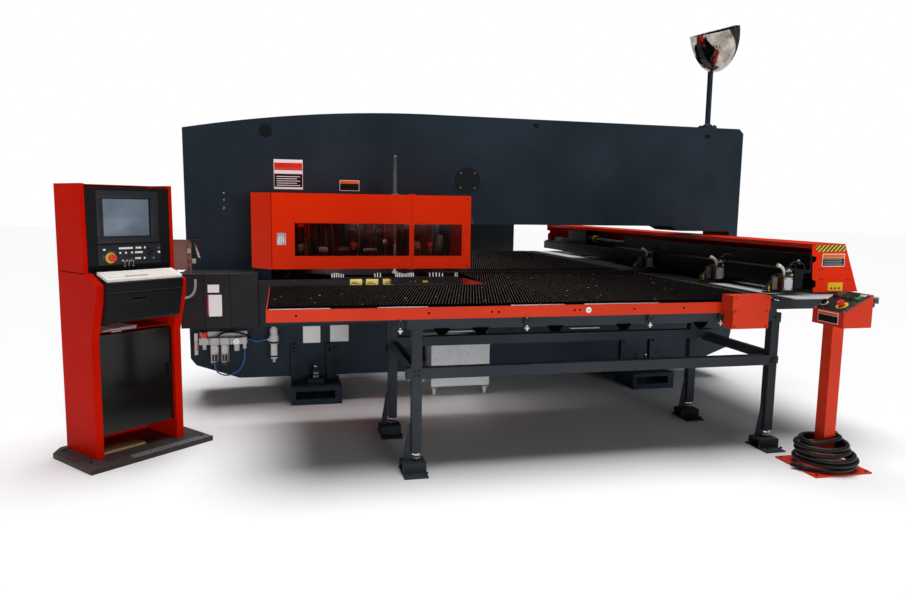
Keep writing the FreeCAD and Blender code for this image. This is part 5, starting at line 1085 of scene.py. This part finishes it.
def clamp_fittings():
    """Blocks, elbows and valves on each clamp, drawn from the middle of its head."""
    for number, y in enumerate(CLAMPS, 1):
        with Piece(f"clamp_fitting_{number}", "black_steel", "clamp_bar", stand=at(0, y - 48)) as piece:
            piece.block((3822, -20, 1045), (3890, 20, 1056), BLOCK_BROWN, edge=2)
            piece.block((3815, -19, 958), (3823, 19, 1052), BLOCK_BROWN, edge=2)
            piece.block((3762, 14, 962), (3806, 17.8, 1050), BLOCK_BROWN, edge=2)
            piece.block((3765, 12.5, 968), (3798, 14, 1044), FACE_BROWN, edge=1)
            piece.block((3825, -22, 964), (3887, -18, 1043), SILVER_BLOCK)
            piece.block((3888, -16, 968), (3892, 16, 1040), SILVER_BLOCK, edge=1)
            piece.lathe([(0, 0), (13, 0), (15, 5), (13, 11), (6, 13), (0, 13)], IVORY, at(3880, -8, 1056),
                        steps=20)
            piece.lathe([(0, 0), (10, 0), (11, 4), (8, 8), (0, 8)], IVORY, at(3892, -4, 1028) @ TO_RIGHT,
                        steps=18)
            piece.screws(4.5, 2.5, OXIDE, front(-22, ((3832, 972), (3880, 972), (3832, 1035), (3880, 1035))))
            piece.rod((3856, 0, 1052), (3856, 0, 1070), 9, BLUE_HOSE, sides=18, edge=1)
            piece.rod((3856, 0, 1070), (3856, 0, 1080), 6.5, SATIN_ALU, sides=18)
            piece.pipe([(3842, 6, 1056), (3838, 6, 1084), (3826, 4, 1104), (3808, 0, 1116),
                        (3792, -2, 1121)], 10, ELBOW_CREAM, rounds=3)
            piece.rod((3796, -2, 1120), (3780, -3, 1123), 12.5, ELBOW_CREAM, sides=18, edge=2)
            for x, z, finish in ((3848, 1092, SATIN_ALU), (3862, 1100, ELBOW_CREAM), (3878, 1090, SATIN_ALU),
                                 (3870, 1080, OXIDE)):
                piece.rod((x, -10, z - 16), (x, -10, z), 6, finish, sides=14, edge=1)
            piece.block((3842, -18, 1056), (3888, -2, 1080), OXIDE, edge=2)
            piece.block((3738, 15.5, 952), (3749, 17.8, 988), SIGNAL_YELLOW, edge=1)
            piece.screws(6, 4, OXIDE, back(78, ((3860, 980), (3860, 1030))))
            piece.pipe([(3862, -10, 1096), (3868, -10, 1122), (3890, -8, 1136), (3916, -6, 1124),
                        (3922, -4, 1104), (3922, -4, 1092)], 3.5, GLOSS_BLACK)


# ---------------------------------------------------------------- console
def console_screen():
    with Piece("screen_bezel", "black_plastic", stand=CONSOLE) as bezel:
        for (x0, z0), (x1, z1) in (((180, 1234), (548, 1268)), ((180, 1484), (548, 1526)),
                                   ((180, 1268), (216, 1484)), ((499, 1268), (548, 1484))):
            bezel.block((x0, 168.5, z0), (x1, 173.5, z1), BEZEL, edge=1.2)
        for (x0, z0), (x1, z1) in (((215, 1266), (501, 1271)), ((215, 1481), (501, 1486)),
                                   ((213, 1268), (218, 1484)), ((498, 1268), (503, 1484))):
            bezel.block((x0, 172, z0), (x1, 184, z1), MATT_BLACK, edge=0.8)
    with Piece("screen_face", "black_plastic", stand=CONSOLE) as glass:
        glass.block((219, 184.8, 1272), (497, 186.6, 1480), SCREEN, edge=0.4)


def control_keys():
    """Blank keys, three key switches with their rings, and knobs on the panel under the screen."""
    with Piece("control_keys", "white_plastic", stand=CONSOLE) as keys:
        def row_of(xs, z, wide, tall, finish):
            for x in xs:
                keys.block((x, 168.6, z), (x + wide, 173.2, z + tall), finish, edge=1)

        row_of((208,), 1194, 15, 9, PLATE_WHITE)
        row_of([300 + 10.5 * k for k in range(8)], 1198, 8.5, 11, PLATE_WHITE)
        row_of((400, 412, 424, 452), 1198, 9, 11, PLATE_WHITE)
        row_of((302, 336, 372), 1172, 10, 11, PLATE_WHITE)
        row_of((396, 408, 420, 432), 1172, 9, 11, PLATE_WHITE)
        row_of((396, 408, 420, 448), 1138, 9, 11, PLATE_WHITE)
        row_of((536,), 1194, 16, 10, KEY_BLUE)
        row_of((502,), 1136, 16, 10, KEY_BLUE)
        row_of((538,), 1168, 14, 12, PLATE_WHITE)
        for row in range(4):
            start = 246 if row > 1 else 208
            row_of([start + 9 * k for k in range(4)], 1150 + 11 * row, 4, 4, PLATE_GREY)
        for x in (322, 348, 374):
            keys.lathe([(0, 0), (9, 0), (9, 4), (6, 6), (0, 6)], CHROME, at(x, 173, 1134) @ TO_FRONT,
                       steps=18)
            keys.block((x - 2, 150, 1124), (x + 2, 168, 1142), CHROME, edge=0.8)
            keys.pipe([(x, 158, 1124), (x - 9, 156, 1108), (x, 154, 1096), (x + 9, 156, 1108),
                       (x, 158, 1124)], 1.6, CHROME, rounds=1)
        for place in front(173, ((480, 1196), (500, 1180), (484, 1162))):
            keys.lathe([(0, 0), (8, 0), (8, 7), (6, 9), (0, 9)], MATT_BLACK, place, steps=18)
        keys.lathe([(16, 0), (31, 0), (30, 3.5), (16, 4)], SIGNAL_YELLOW, at(252, 173, 1152) @ TO_FRONT,
                   steps=32)
        keys.block((182, 171.6, 1112), (556, 173.3, 1224), BEZEL, edge=0.6)


def keyboard_keys():
    """Five rows of blank keys and the long one, on the sloping keyboard."""
    slope = math.atan2(48.0, 153.0)
    lay = CONSOLE @ at(150, 32, 1026 + 14 * math.tan(slope)) @ Matrix.Rotation(slope, 4, "X")
    rows, columns, pitch, long_key = 5, 18, 23, range(4, 10)
    with Piece("keyboard_keys", "white_plastic", stand=lay) as board:
        for row, column in product(range(rows), range(columns)):
            x, y = 18 + pitch * column, 14 + 16.6 * (rows - 1 - row)
            if row < rows - 1 or column not in long_key:
                board.block((x, y, 20), (x + 20, y + 14, 23.5), SATIN_WHITE, edge=1.2, segments=1)
            elif column == long_key[0]:
                end = x + pitch * (len(long_key) - 1) + 20
                board.block((x, y, 20), (end, y + 14, 23.5), IVORY, edge=1.2, segments=1)


def console_small_parts():
    """Drawer's lip painted lighter as a highlight over a strip of painted shade, the grip with a painted
    highlight under it and painted shade inside, papers on the shelf, and screws of the side sheets.
    """
    with Piece("console_small_parts", "black_plastic", stand=CONSOLE) as body:
        # Lip painted lighter as a highlight, and the near-black strip under it as painted shade in the seam.
        body.block((145, 25.2, 968), (599, 30, 971), LIP_HIGHLIGHT_GREY, edge=0.6)
        body.block((145, 26.2, 963.5), (599, 31, 968), DARK_GAP, edge=0.2)
        # Lighter strip under the grip: a painted highlight; its near-black inside: painted shade of the
        # recess.
        body.block((296, 33.0, 919), (376, 40, 924), BEZEL, edge=0.8)
        body.block((300, 34.4, 925), (372, 38, 933), DARK_GAP, edge=0.3)
        for k in range(5):
            body.block((330 + 26 * k, 156, 1072), (350 + 26 * k, 164, 1076), CHROME, edge=1)
        for k, finish in enumerate((PLATE_GREY, PLATE_WHITE) * 2):
            body.plate([(0, 0), (210 - 14 * k, 0), (204 - 14 * k, 150), (6, 152)], 2.2, finish,
                       at(170 + 26 * k, 180 + 3 * k, 738 + 2.4 * k) @ turn("Z", 4 * k - 4))
        body.block((240, 178, 728), (300, 184, 748), CREAM, edge=1)
        body.block((150, 180, 28.5), (420, 330, 42), BOARD, edge=1)
        for x, outward in ((99, TO_LEFT), (645, TO_RIGHT)):
            body.screws(4, 1.6, MACHINE_RED, [at(x, 300, z) @ outward for z in (60, 690, 1090, 1548)])
        body.block((98.2, 172, 1069), (99.2, 468, 1073), DARK_GAP, edge=0.3)


def base_tread():
    with Piece("base_tread", "black_steel", stand=CONSOLE) as grip:
        for k, row in product(range(36), range(4)):
            x, y = 250 + 14 * k + 7 * (row % 2), 8 + 15 * row
            grip.block((x, y, 28), (x + 8, y + 9, 30.2), PLATE_GREY, edge=0.8, segments=1)
        grip.nuts(11, 8, OXIDE, [at(x, y, 28) for x, y in ((60, 120), (64, 436), (720, 60), (720, 450))])


# ---------------------------------------------------------------- pedestal
def pedestal_panel():
    """Dark panel on the box's sloping top, with rings under its buttons and two blank caps."""
    angle = math.atan2(102.0, 185.0)
    rise, run = math.sin(angle), math.cos(angle)
    slope = Matrix(((run, 0, -rise, 3690.0), (0, 1, 0, 0), (rise, 0, run, 912.0), (0, 0, 0, 1)))
    buttons = ((143, -2124), (145, -2069), (151, -1995))
    with Piece("pedestal_panel", "black_plastic", stand=slope) as top:
        top.block((4, -2206, 0.1), (207, -1974, 1.4), PANEL_BROWN, edge=0.8)
        for x, y, r, finish in ((66, -2128, 34, SIGNAL_YELLOW), (62, -1996, 22, SATIN_WHITE)):
            top.lathe([(r * 0.55, 1.4), (r, 1.4), (r - 1, 4), (r * 0.55, 4.5)], finish, at(x, y), steps=36)
        for x, y in buttons + ((146, -2168),):
            top.lathe([(16.6, 1.4), (20, 1.4), (20, 5), (16.6, 6)], OXIDE, at(x, y), steps=28)
        for x, y in buttons:
            top.lathe([(0, 8.8), (16.4, 8.8), (16.4, 1.4), (16.9, 1.4), (16.9, 9.4), (14.5, 11), (0, 11)],
                      MATT_BLACK, at(x, y), steps=28)
        top.screws(4, 2, SATIN_ALU, [at(x, y, 1.4) for x, y in product((12, 198), (-2198, -1982))])
        top.block((176, -2182, 1.4), (200, -2138, 2.6), IVORY, edge=0.5)


def pedestal_label():
    """Bare plate on the box's left face, and the bolts of the post's foot."""
    with Piece("pedestal_label", "red_paint") as label:
        label.block((3688.2, -2172, 846), (3690, -2016, 908), PLATE_WHITE, edge=0.6)
        label.block((3687.4, -2168, 890), (3689, -2020, 905), SIGNAL_ORANGE, edge=0.3)
        label.block((3687.4, -2168, 849), (3689, -2020, 888), MATT_BLACK, edge=0.3)
        label.rod((3712, -2060, 818), (3712, -2060, 830), 11, OXIDE, sides=20, edge=1)
        corners = product((-150, 150), (-165, 165))
        label.nuts(9, 6, OXIDE, [at(POST[0] + x, POST[1] + y, 8) for y, x in corners])


def cable_gland():
    """Gland nut, and the tapered ribbed sleeve through which the cable leaves it."""
    leaving = Vector(CABLE_EXIT)
    with Piece("cable_gland_nut", "black_plastic") as nut:
        nut.rod(leaving, leaving + Vector((0, -18, 0)), 19, RUBBER, sides=28, edge=1.5)
    ribs = [(13.2, 0.0), (19.5, 0.0)]
    for k in range(6):
        r = 19.0 - 0.85 * k
        ribs += [(r, 7.0 * k + 1.5), (r, 7.0 * k + 5.0), (r - 2.2, 7.0 * k + 5.4), (r - 2.2, 7.0 * k + 6.8)]
    ribs += [(13.4, 45.0), (13.2, 44.0)]
    with Piece("cable_relief", "black_plastic") as sleeve:
        sleeve.lathe(ribs, RUBBER, at(*CABLE_EXIT) @ TO_FRONT, steps=28)


# ---------------------------------------------------------------- air service unit
def air_unit_guards():
    """Cages and bands of the bowls, gauge, elbow line, lock and clips of the air unit."""
    y = SERVICE_LINE
    gauge = at(350, -164, 470) @ TO_FRONT
    with Piece("air_unit_guards", "alu") as piece:
        for x in (195, 266):
            for dx, dy in ring(8, 26.5):
                piece.rod((x + dx, y + dy, 318), (x + dx, y + dy, 440), 2.2, SATIN_ALU, sides=8)
            for z in (318, 378, 438):
                piece.lathe([(25.5, z - 3), (29, z - 3), (29, z + 3), (25.5, z + 3)], SATIN_ALU, at(x, y),
                            steps=24)
            piece.rod((x, y, 296), (x, y, 303), 7, BRASS, sides=14)
            piece.lathe([(0, 301), (24, 301), (25.8, 304), (25.8, 315), (0, 315)], MATT_BLACK, at(x, y),
                        steps=24)
            piece.lathe([(25.1, 322), (25.5, 322), (25.5, 374), (25.1, 374)], PANEL_BROWN, at(x, y), steps=24)
            piece.lathe([(25.1, 382), (25.5, 382), (25.5, 434), (25.1, 434)], SILVER_BLOCK, at(x, y),
                        steps=24)
        for inner, outer, low, high, finish in ((24.1, 24.6, 334, 432, SILVER_BLOCK),
                                                (24.1, 25.4, 340, 352, MATT_BLACK),
                                                (34.1, 34.9, 444, 458, MATT_BLACK)):
            piece.lathe([(inner, low), (outer, low), (outer, high), (inner, high)], finish, at(614, y),
                        steps=24)
        piece.pipe([(214, -104, 492), (226, -84, 512), (262, -66, 526), (345, -62, 522), (410, -70, 508),
                    (446, -92, 486), (452, -98, 470)], 7, GLOSS_BLACK, rounds=3)
        piece.lathe([(0, 0), (24, 0), (25, 2), (25, 7), (22, 7), (22, 4), (0, 4)], CHROME, gauge, steps=30)
        piece.lathe([(0, 4.1), (21.5, 4.1), (21.5, 4.6), (0, 4.6)], PLATE_WHITE, gauge, steps=24)
        piece.block((349, -169.4, 466), (351, -168.8, 486), GLOSS_RED, edge=0.2)
        piece.block((60, y - 12, 404), (80, y + 12, 480), GLOSS_RED, edge=4)
        piece.rod((69, y, 480), (69, y, 500), 9, CHROME, sides=16)
        piece.rod((614, y, 556), (614, y, 566), 16, SATIN_WHITE, sides=22, edge=2)
        for x in (125, 405):
            piece.rod((x, y - 6, 492), (x, y - 6, 500), 20, SATIN_ALU, sides=24, edge=1)
        for x in (160, 231, 302):
            piece.block((x - 4, y - 27, 446), (x + 4, y + 27, 494), PLATE_GREY, edge=2)
            piece.screws(4, 3, OXIDE, front(y - 27, ((x, 482), (x, 458))))


def side_panel_hardware():
    """Clips and gas spring of the smoked guard, and the grey hose that drops behind the console."""
    with Piece("side_panel_hardware", "black_steel") as piece:
        for x, z in ((53, 1134), (85, 1062)):
            piece.block((x - 12, -246, z - 16), (x + 12, -214, z + 16), IVORY, edge=3)
            piece.screws(4, 2, OXIDE, front(-246, ((x, z),)))
        piece.rod((96, -226, 1190), (122, -226, 1080), 9, CHROME, sides=20, edge=1)
        piece.rod((92, -226, 1206), (98, -226, 1182), 13, OXIDE, sides=18, edge=1)
        piece.block((62, -238, 1196), (128, -214, 1214), OXIDE, edge=2)
        piece.block((100, -238, 1058), (122, -214, 1084), OXIDE, edge=2)
        piece.pipe([(102, -352, 946), (104, -354, 900), (96, -356, 850), (66, -350, 822), (20, -342, 815)], 9,
                   PLATE_GREY, rounds=3)


def bin_rim_and_chute():
    with Piece("bin_rim_and_chute", "galvanised") as piece:
        piece.plate([(0, 0), (380, 0), (380, 130), (0, 130)], 2.0, BIN_STEEL,
                    at(1830, -232, 420) @ turn("X", -28))
        for low, high in (((1786, -209), (2259, -203)), ((1786, -209), (1792, 359)),
                          ((2253, -209), (2259, 359))):
            piece.block((*low, 402), (*high, 411), SATIN_ALU, edge=2)
        piece.screws(5, 2, SATIN_ALU, front(-205, product((1806, 2239), (60, 340))))


# ---------------------------------------------------------------- back of the machine
def cabinet_with_doors():
    """Control cabinet: body, plinth, two doors with hinges and lock bars, louvres and lifting eyes' caps."""
    x0, x1, y0, y1 = 2612.0, 3608.0, 3392.0, 3848.0
    width = (x1 - x0) / 2
    with Piece("cabinet_with_doors", "cabinet_paint", replaced=("electrical_cabinet",)) as piece:
        piece.block((x0, y0, 90), (x1, y1 - 16, 1750), CABINET, edge=3)
        piece.block((x0 + 14, y0 + 14, 0), (x1 - 14, y1 - 30, 92), MATT_BLACK, edge=2)
        for left, lock, hinge in ((x0 + 10, width - 74, 4), (x0 + width + 10, 34, width - 24)):
            piece.block((left, y1 - 17, 106), (left + width - 20, y1 - 4, 1734), CABINET, edge=3)
            piece.block((left + lock, y1 - 5, 820), (left + lock + 20, y1 - 0.2, 980), OXIDE, edge=1)
            for z in range(240, 432, 24):
                piece.block((left + 120, y1 - 5, z), (left + width - 150, y1 - 1.5, z + 12), CABINET,
                            segments=1)
                piece.block((left + 124, y1 - 4.4, z - 3), (left + width - 154, y1 - 3.6, z), DARK_GAP,
                            edge=0.2, segments=1)
            for z in (300, 900, 1560):
                piece.rod((left + hinge, y1 - 6, z), (left + hinge, y1 - 6, z + 90), 5, OXIDE, sides=12)
        for z in range(1300, 1612, 26):
            piece.block((x0 - 3, 3450, z), (x0 + 1, 3640, z + 11), CABINET, edge=1.2, segments=1)
            piece.block((x0 - 0.6, 3454, z - 3), (x0 + 1, 3636, z), DARK_GAP, edge=0.2, segments=1)
        for x, y in product((2700, 3520), (3440, 3790)):
            piece.lathe([(0, 0), (20, 0), (22, 8), (12, 12), (0, 12)], OXIDE, at(x, y, 1750), steps=20)


def rear_cover_skirt():
    """Sheets that close the gap under the rear turret cover and round the rear bay."""
    with Piece("rear_cover_skirt", "black_plastic") as skirt:
        skirt.block((488, 1040, 952), (1840, 1046, 1044), RUBBER, edge=1)
        skirt.block((488, 404, 952), (494, 1040, 1044), RUBBER, edge=1)
        skirt.block((488, 1062, 603), (2050, 1068, 906), CHARCOAL, edge=1)
        skirt.block((488, 404, 603), (494, 1062, 906), CHARCOAL, edge=1)
        skirt.screws(6, 3, OXIDE, back(1068, [(540 + 205 * k, 880) for k in range(8)]))
        skirt.screws(6, 3, OXIDE, back(1046, [(650 + 104 * k, 1032) for k in range(12)]))


def rear_cover_screws():
    with Piece("rear_cover_screws", "black_steel") as rear:
        rear.screws(6, 3, OXIDE, back(COVER_BACK, product((700, 1190, 1700), (1000, 1480))))
        rear.block((560, COVER_BACK - 2, 1120), (1840, COVER_BACK + 1.5, 1124), DARK_GAP, edge=0.3)


def rail_screws():
    with Piece("rail_screws", "bright_steel") as piece:
        piece.screws(5, 1.5, OXIDE, [at(2220 + 100 * k, y, 806) for y, k in product((77, 323), range(22))])


def sheet_slivers():
    """Small bright slivers of sheet that lie among the bristles."""
    toss = random.Random(11)
    with Piece("sheet_slivers", "alu") as piece:
        for k in range(70):
            x, y = toss.uniform(640, 3580), toss.uniform(-1700, -380)
            if k > 45:
                x, y = toss.uniform(2100, 3580), toss.uniform(-300, 40)
            size = toss.uniform(2.5, 6.5)
            lie = turn("Z", toss.uniform(0, 180)) @ turn("X", toss.uniform(-18, 18))
            piece.block((-size, -size * 0.5, 0), (size, size * 0.5, 0.8), SATIN_ALU, at(x, y, 937.0) @ lie,
                        edge=0.0)


for make in (
        brush_fields, watch_mirror, door_gap_shade_strip, tool_air_lines, latch_dish, cover_screws,
        inner_tool_ring, under_cover_pins, slide_plate_edge, frame_sign_plates, frame_hardware,
        lower_cover_seams, notch_guard, fascia_fittings, deck_levelling, table_edge_and_lines,
        corner_box_lid, leg_hardware, machine_foot_bolts, carriage_end, screw_end_ring, clamp_fittings,
        console_screen, control_keys, keyboard_keys, console_small_parts, base_tread, pedestal_panel,
        pedestal_label, cable_gland, air_unit_guards, side_panel_hardware, bin_rim_and_chute,
        cabinet_with_doors, rear_cover_skirt, rear_cover_screws, rail_screws, sheet_slivers):
    make()


# ---------------------------------------------------------------- floor and lights
def studio_floor():
    floor = bpy.data.objects.new("floor", bpy.data.meshes.new("floor"))
    sheet = bmesh.new()
    bmesh.ops.create_grid(sheet, x_segments=1, y_segments=1, size=40.0)
    sheet.to_mesh(floor.data)
    sheet.free()
    floor.data.materials.append(FLOOR)
    scene.collection.objects.link(floor)


def studio_sky():
    """White to the camera, and a weak cool light to everything else."""
    scene.world = bpy.data.worlds.new("studio")
    scene.world.use_nodes = True
    sky = Tree(scene.world.node_tree)
    lit = sky.tree.nodes["Background"]
    lit.inputs["Color"].default_value = (0.92, 0.96, 1.0, 1.0)
    lit.inputs["Strength"].default_value = 0.08
    seen = sky.node("ShaderNodeBackground", {"Color": (1.0, 1.0, 1.0), "Strength": 1.0})
    by_camera = sky.node("ShaderNodeLightPath").outputs["Is Camera Ray"]
    either = sky.node("ShaderNodeMixShader", {0: by_camera, 1: lit.outputs[0], 2: seen.outputs[0]})
    sky.feed(either.outputs[0], sky.tree.nodes["World Output"].inputs["Surface"])


def hang(name, light, aim):
    """A light's object, turned to shine along a direction."""
    lamp = bpy.data.objects.new(name, light)
    lamp.rotation_mode = "QUATERNION"
    lamp.rotation_quaternion = Vector(aim).to_track_quat("-Z", "Y")
    scene.collection.objects.link(lamp)
    return lamp


def studio_lights():
    for name, ahead, power, spread, in_reflections in SUNS:
        light = bpy.data.lights.new(name, "SUN")
        light.energy = power
        light.angle = math.radians(spread)
        hang(name, light, ahead).visible_glossy = in_reflections
    for name, place, target, size, power in LAMPS:
        light = bpy.data.lights.new(name, "AREA")
        light.shape = "RECTANGLE"
        light.size, light.size_y = size
        light.energy = power
        lamp = hang(name, light, Vector(target) - Vector(place))
        lamp.location = place
        lamp.visible_camera = False
        lamp.visible_glossy = False


studio_floor()
studio_sky()
studio_lights()
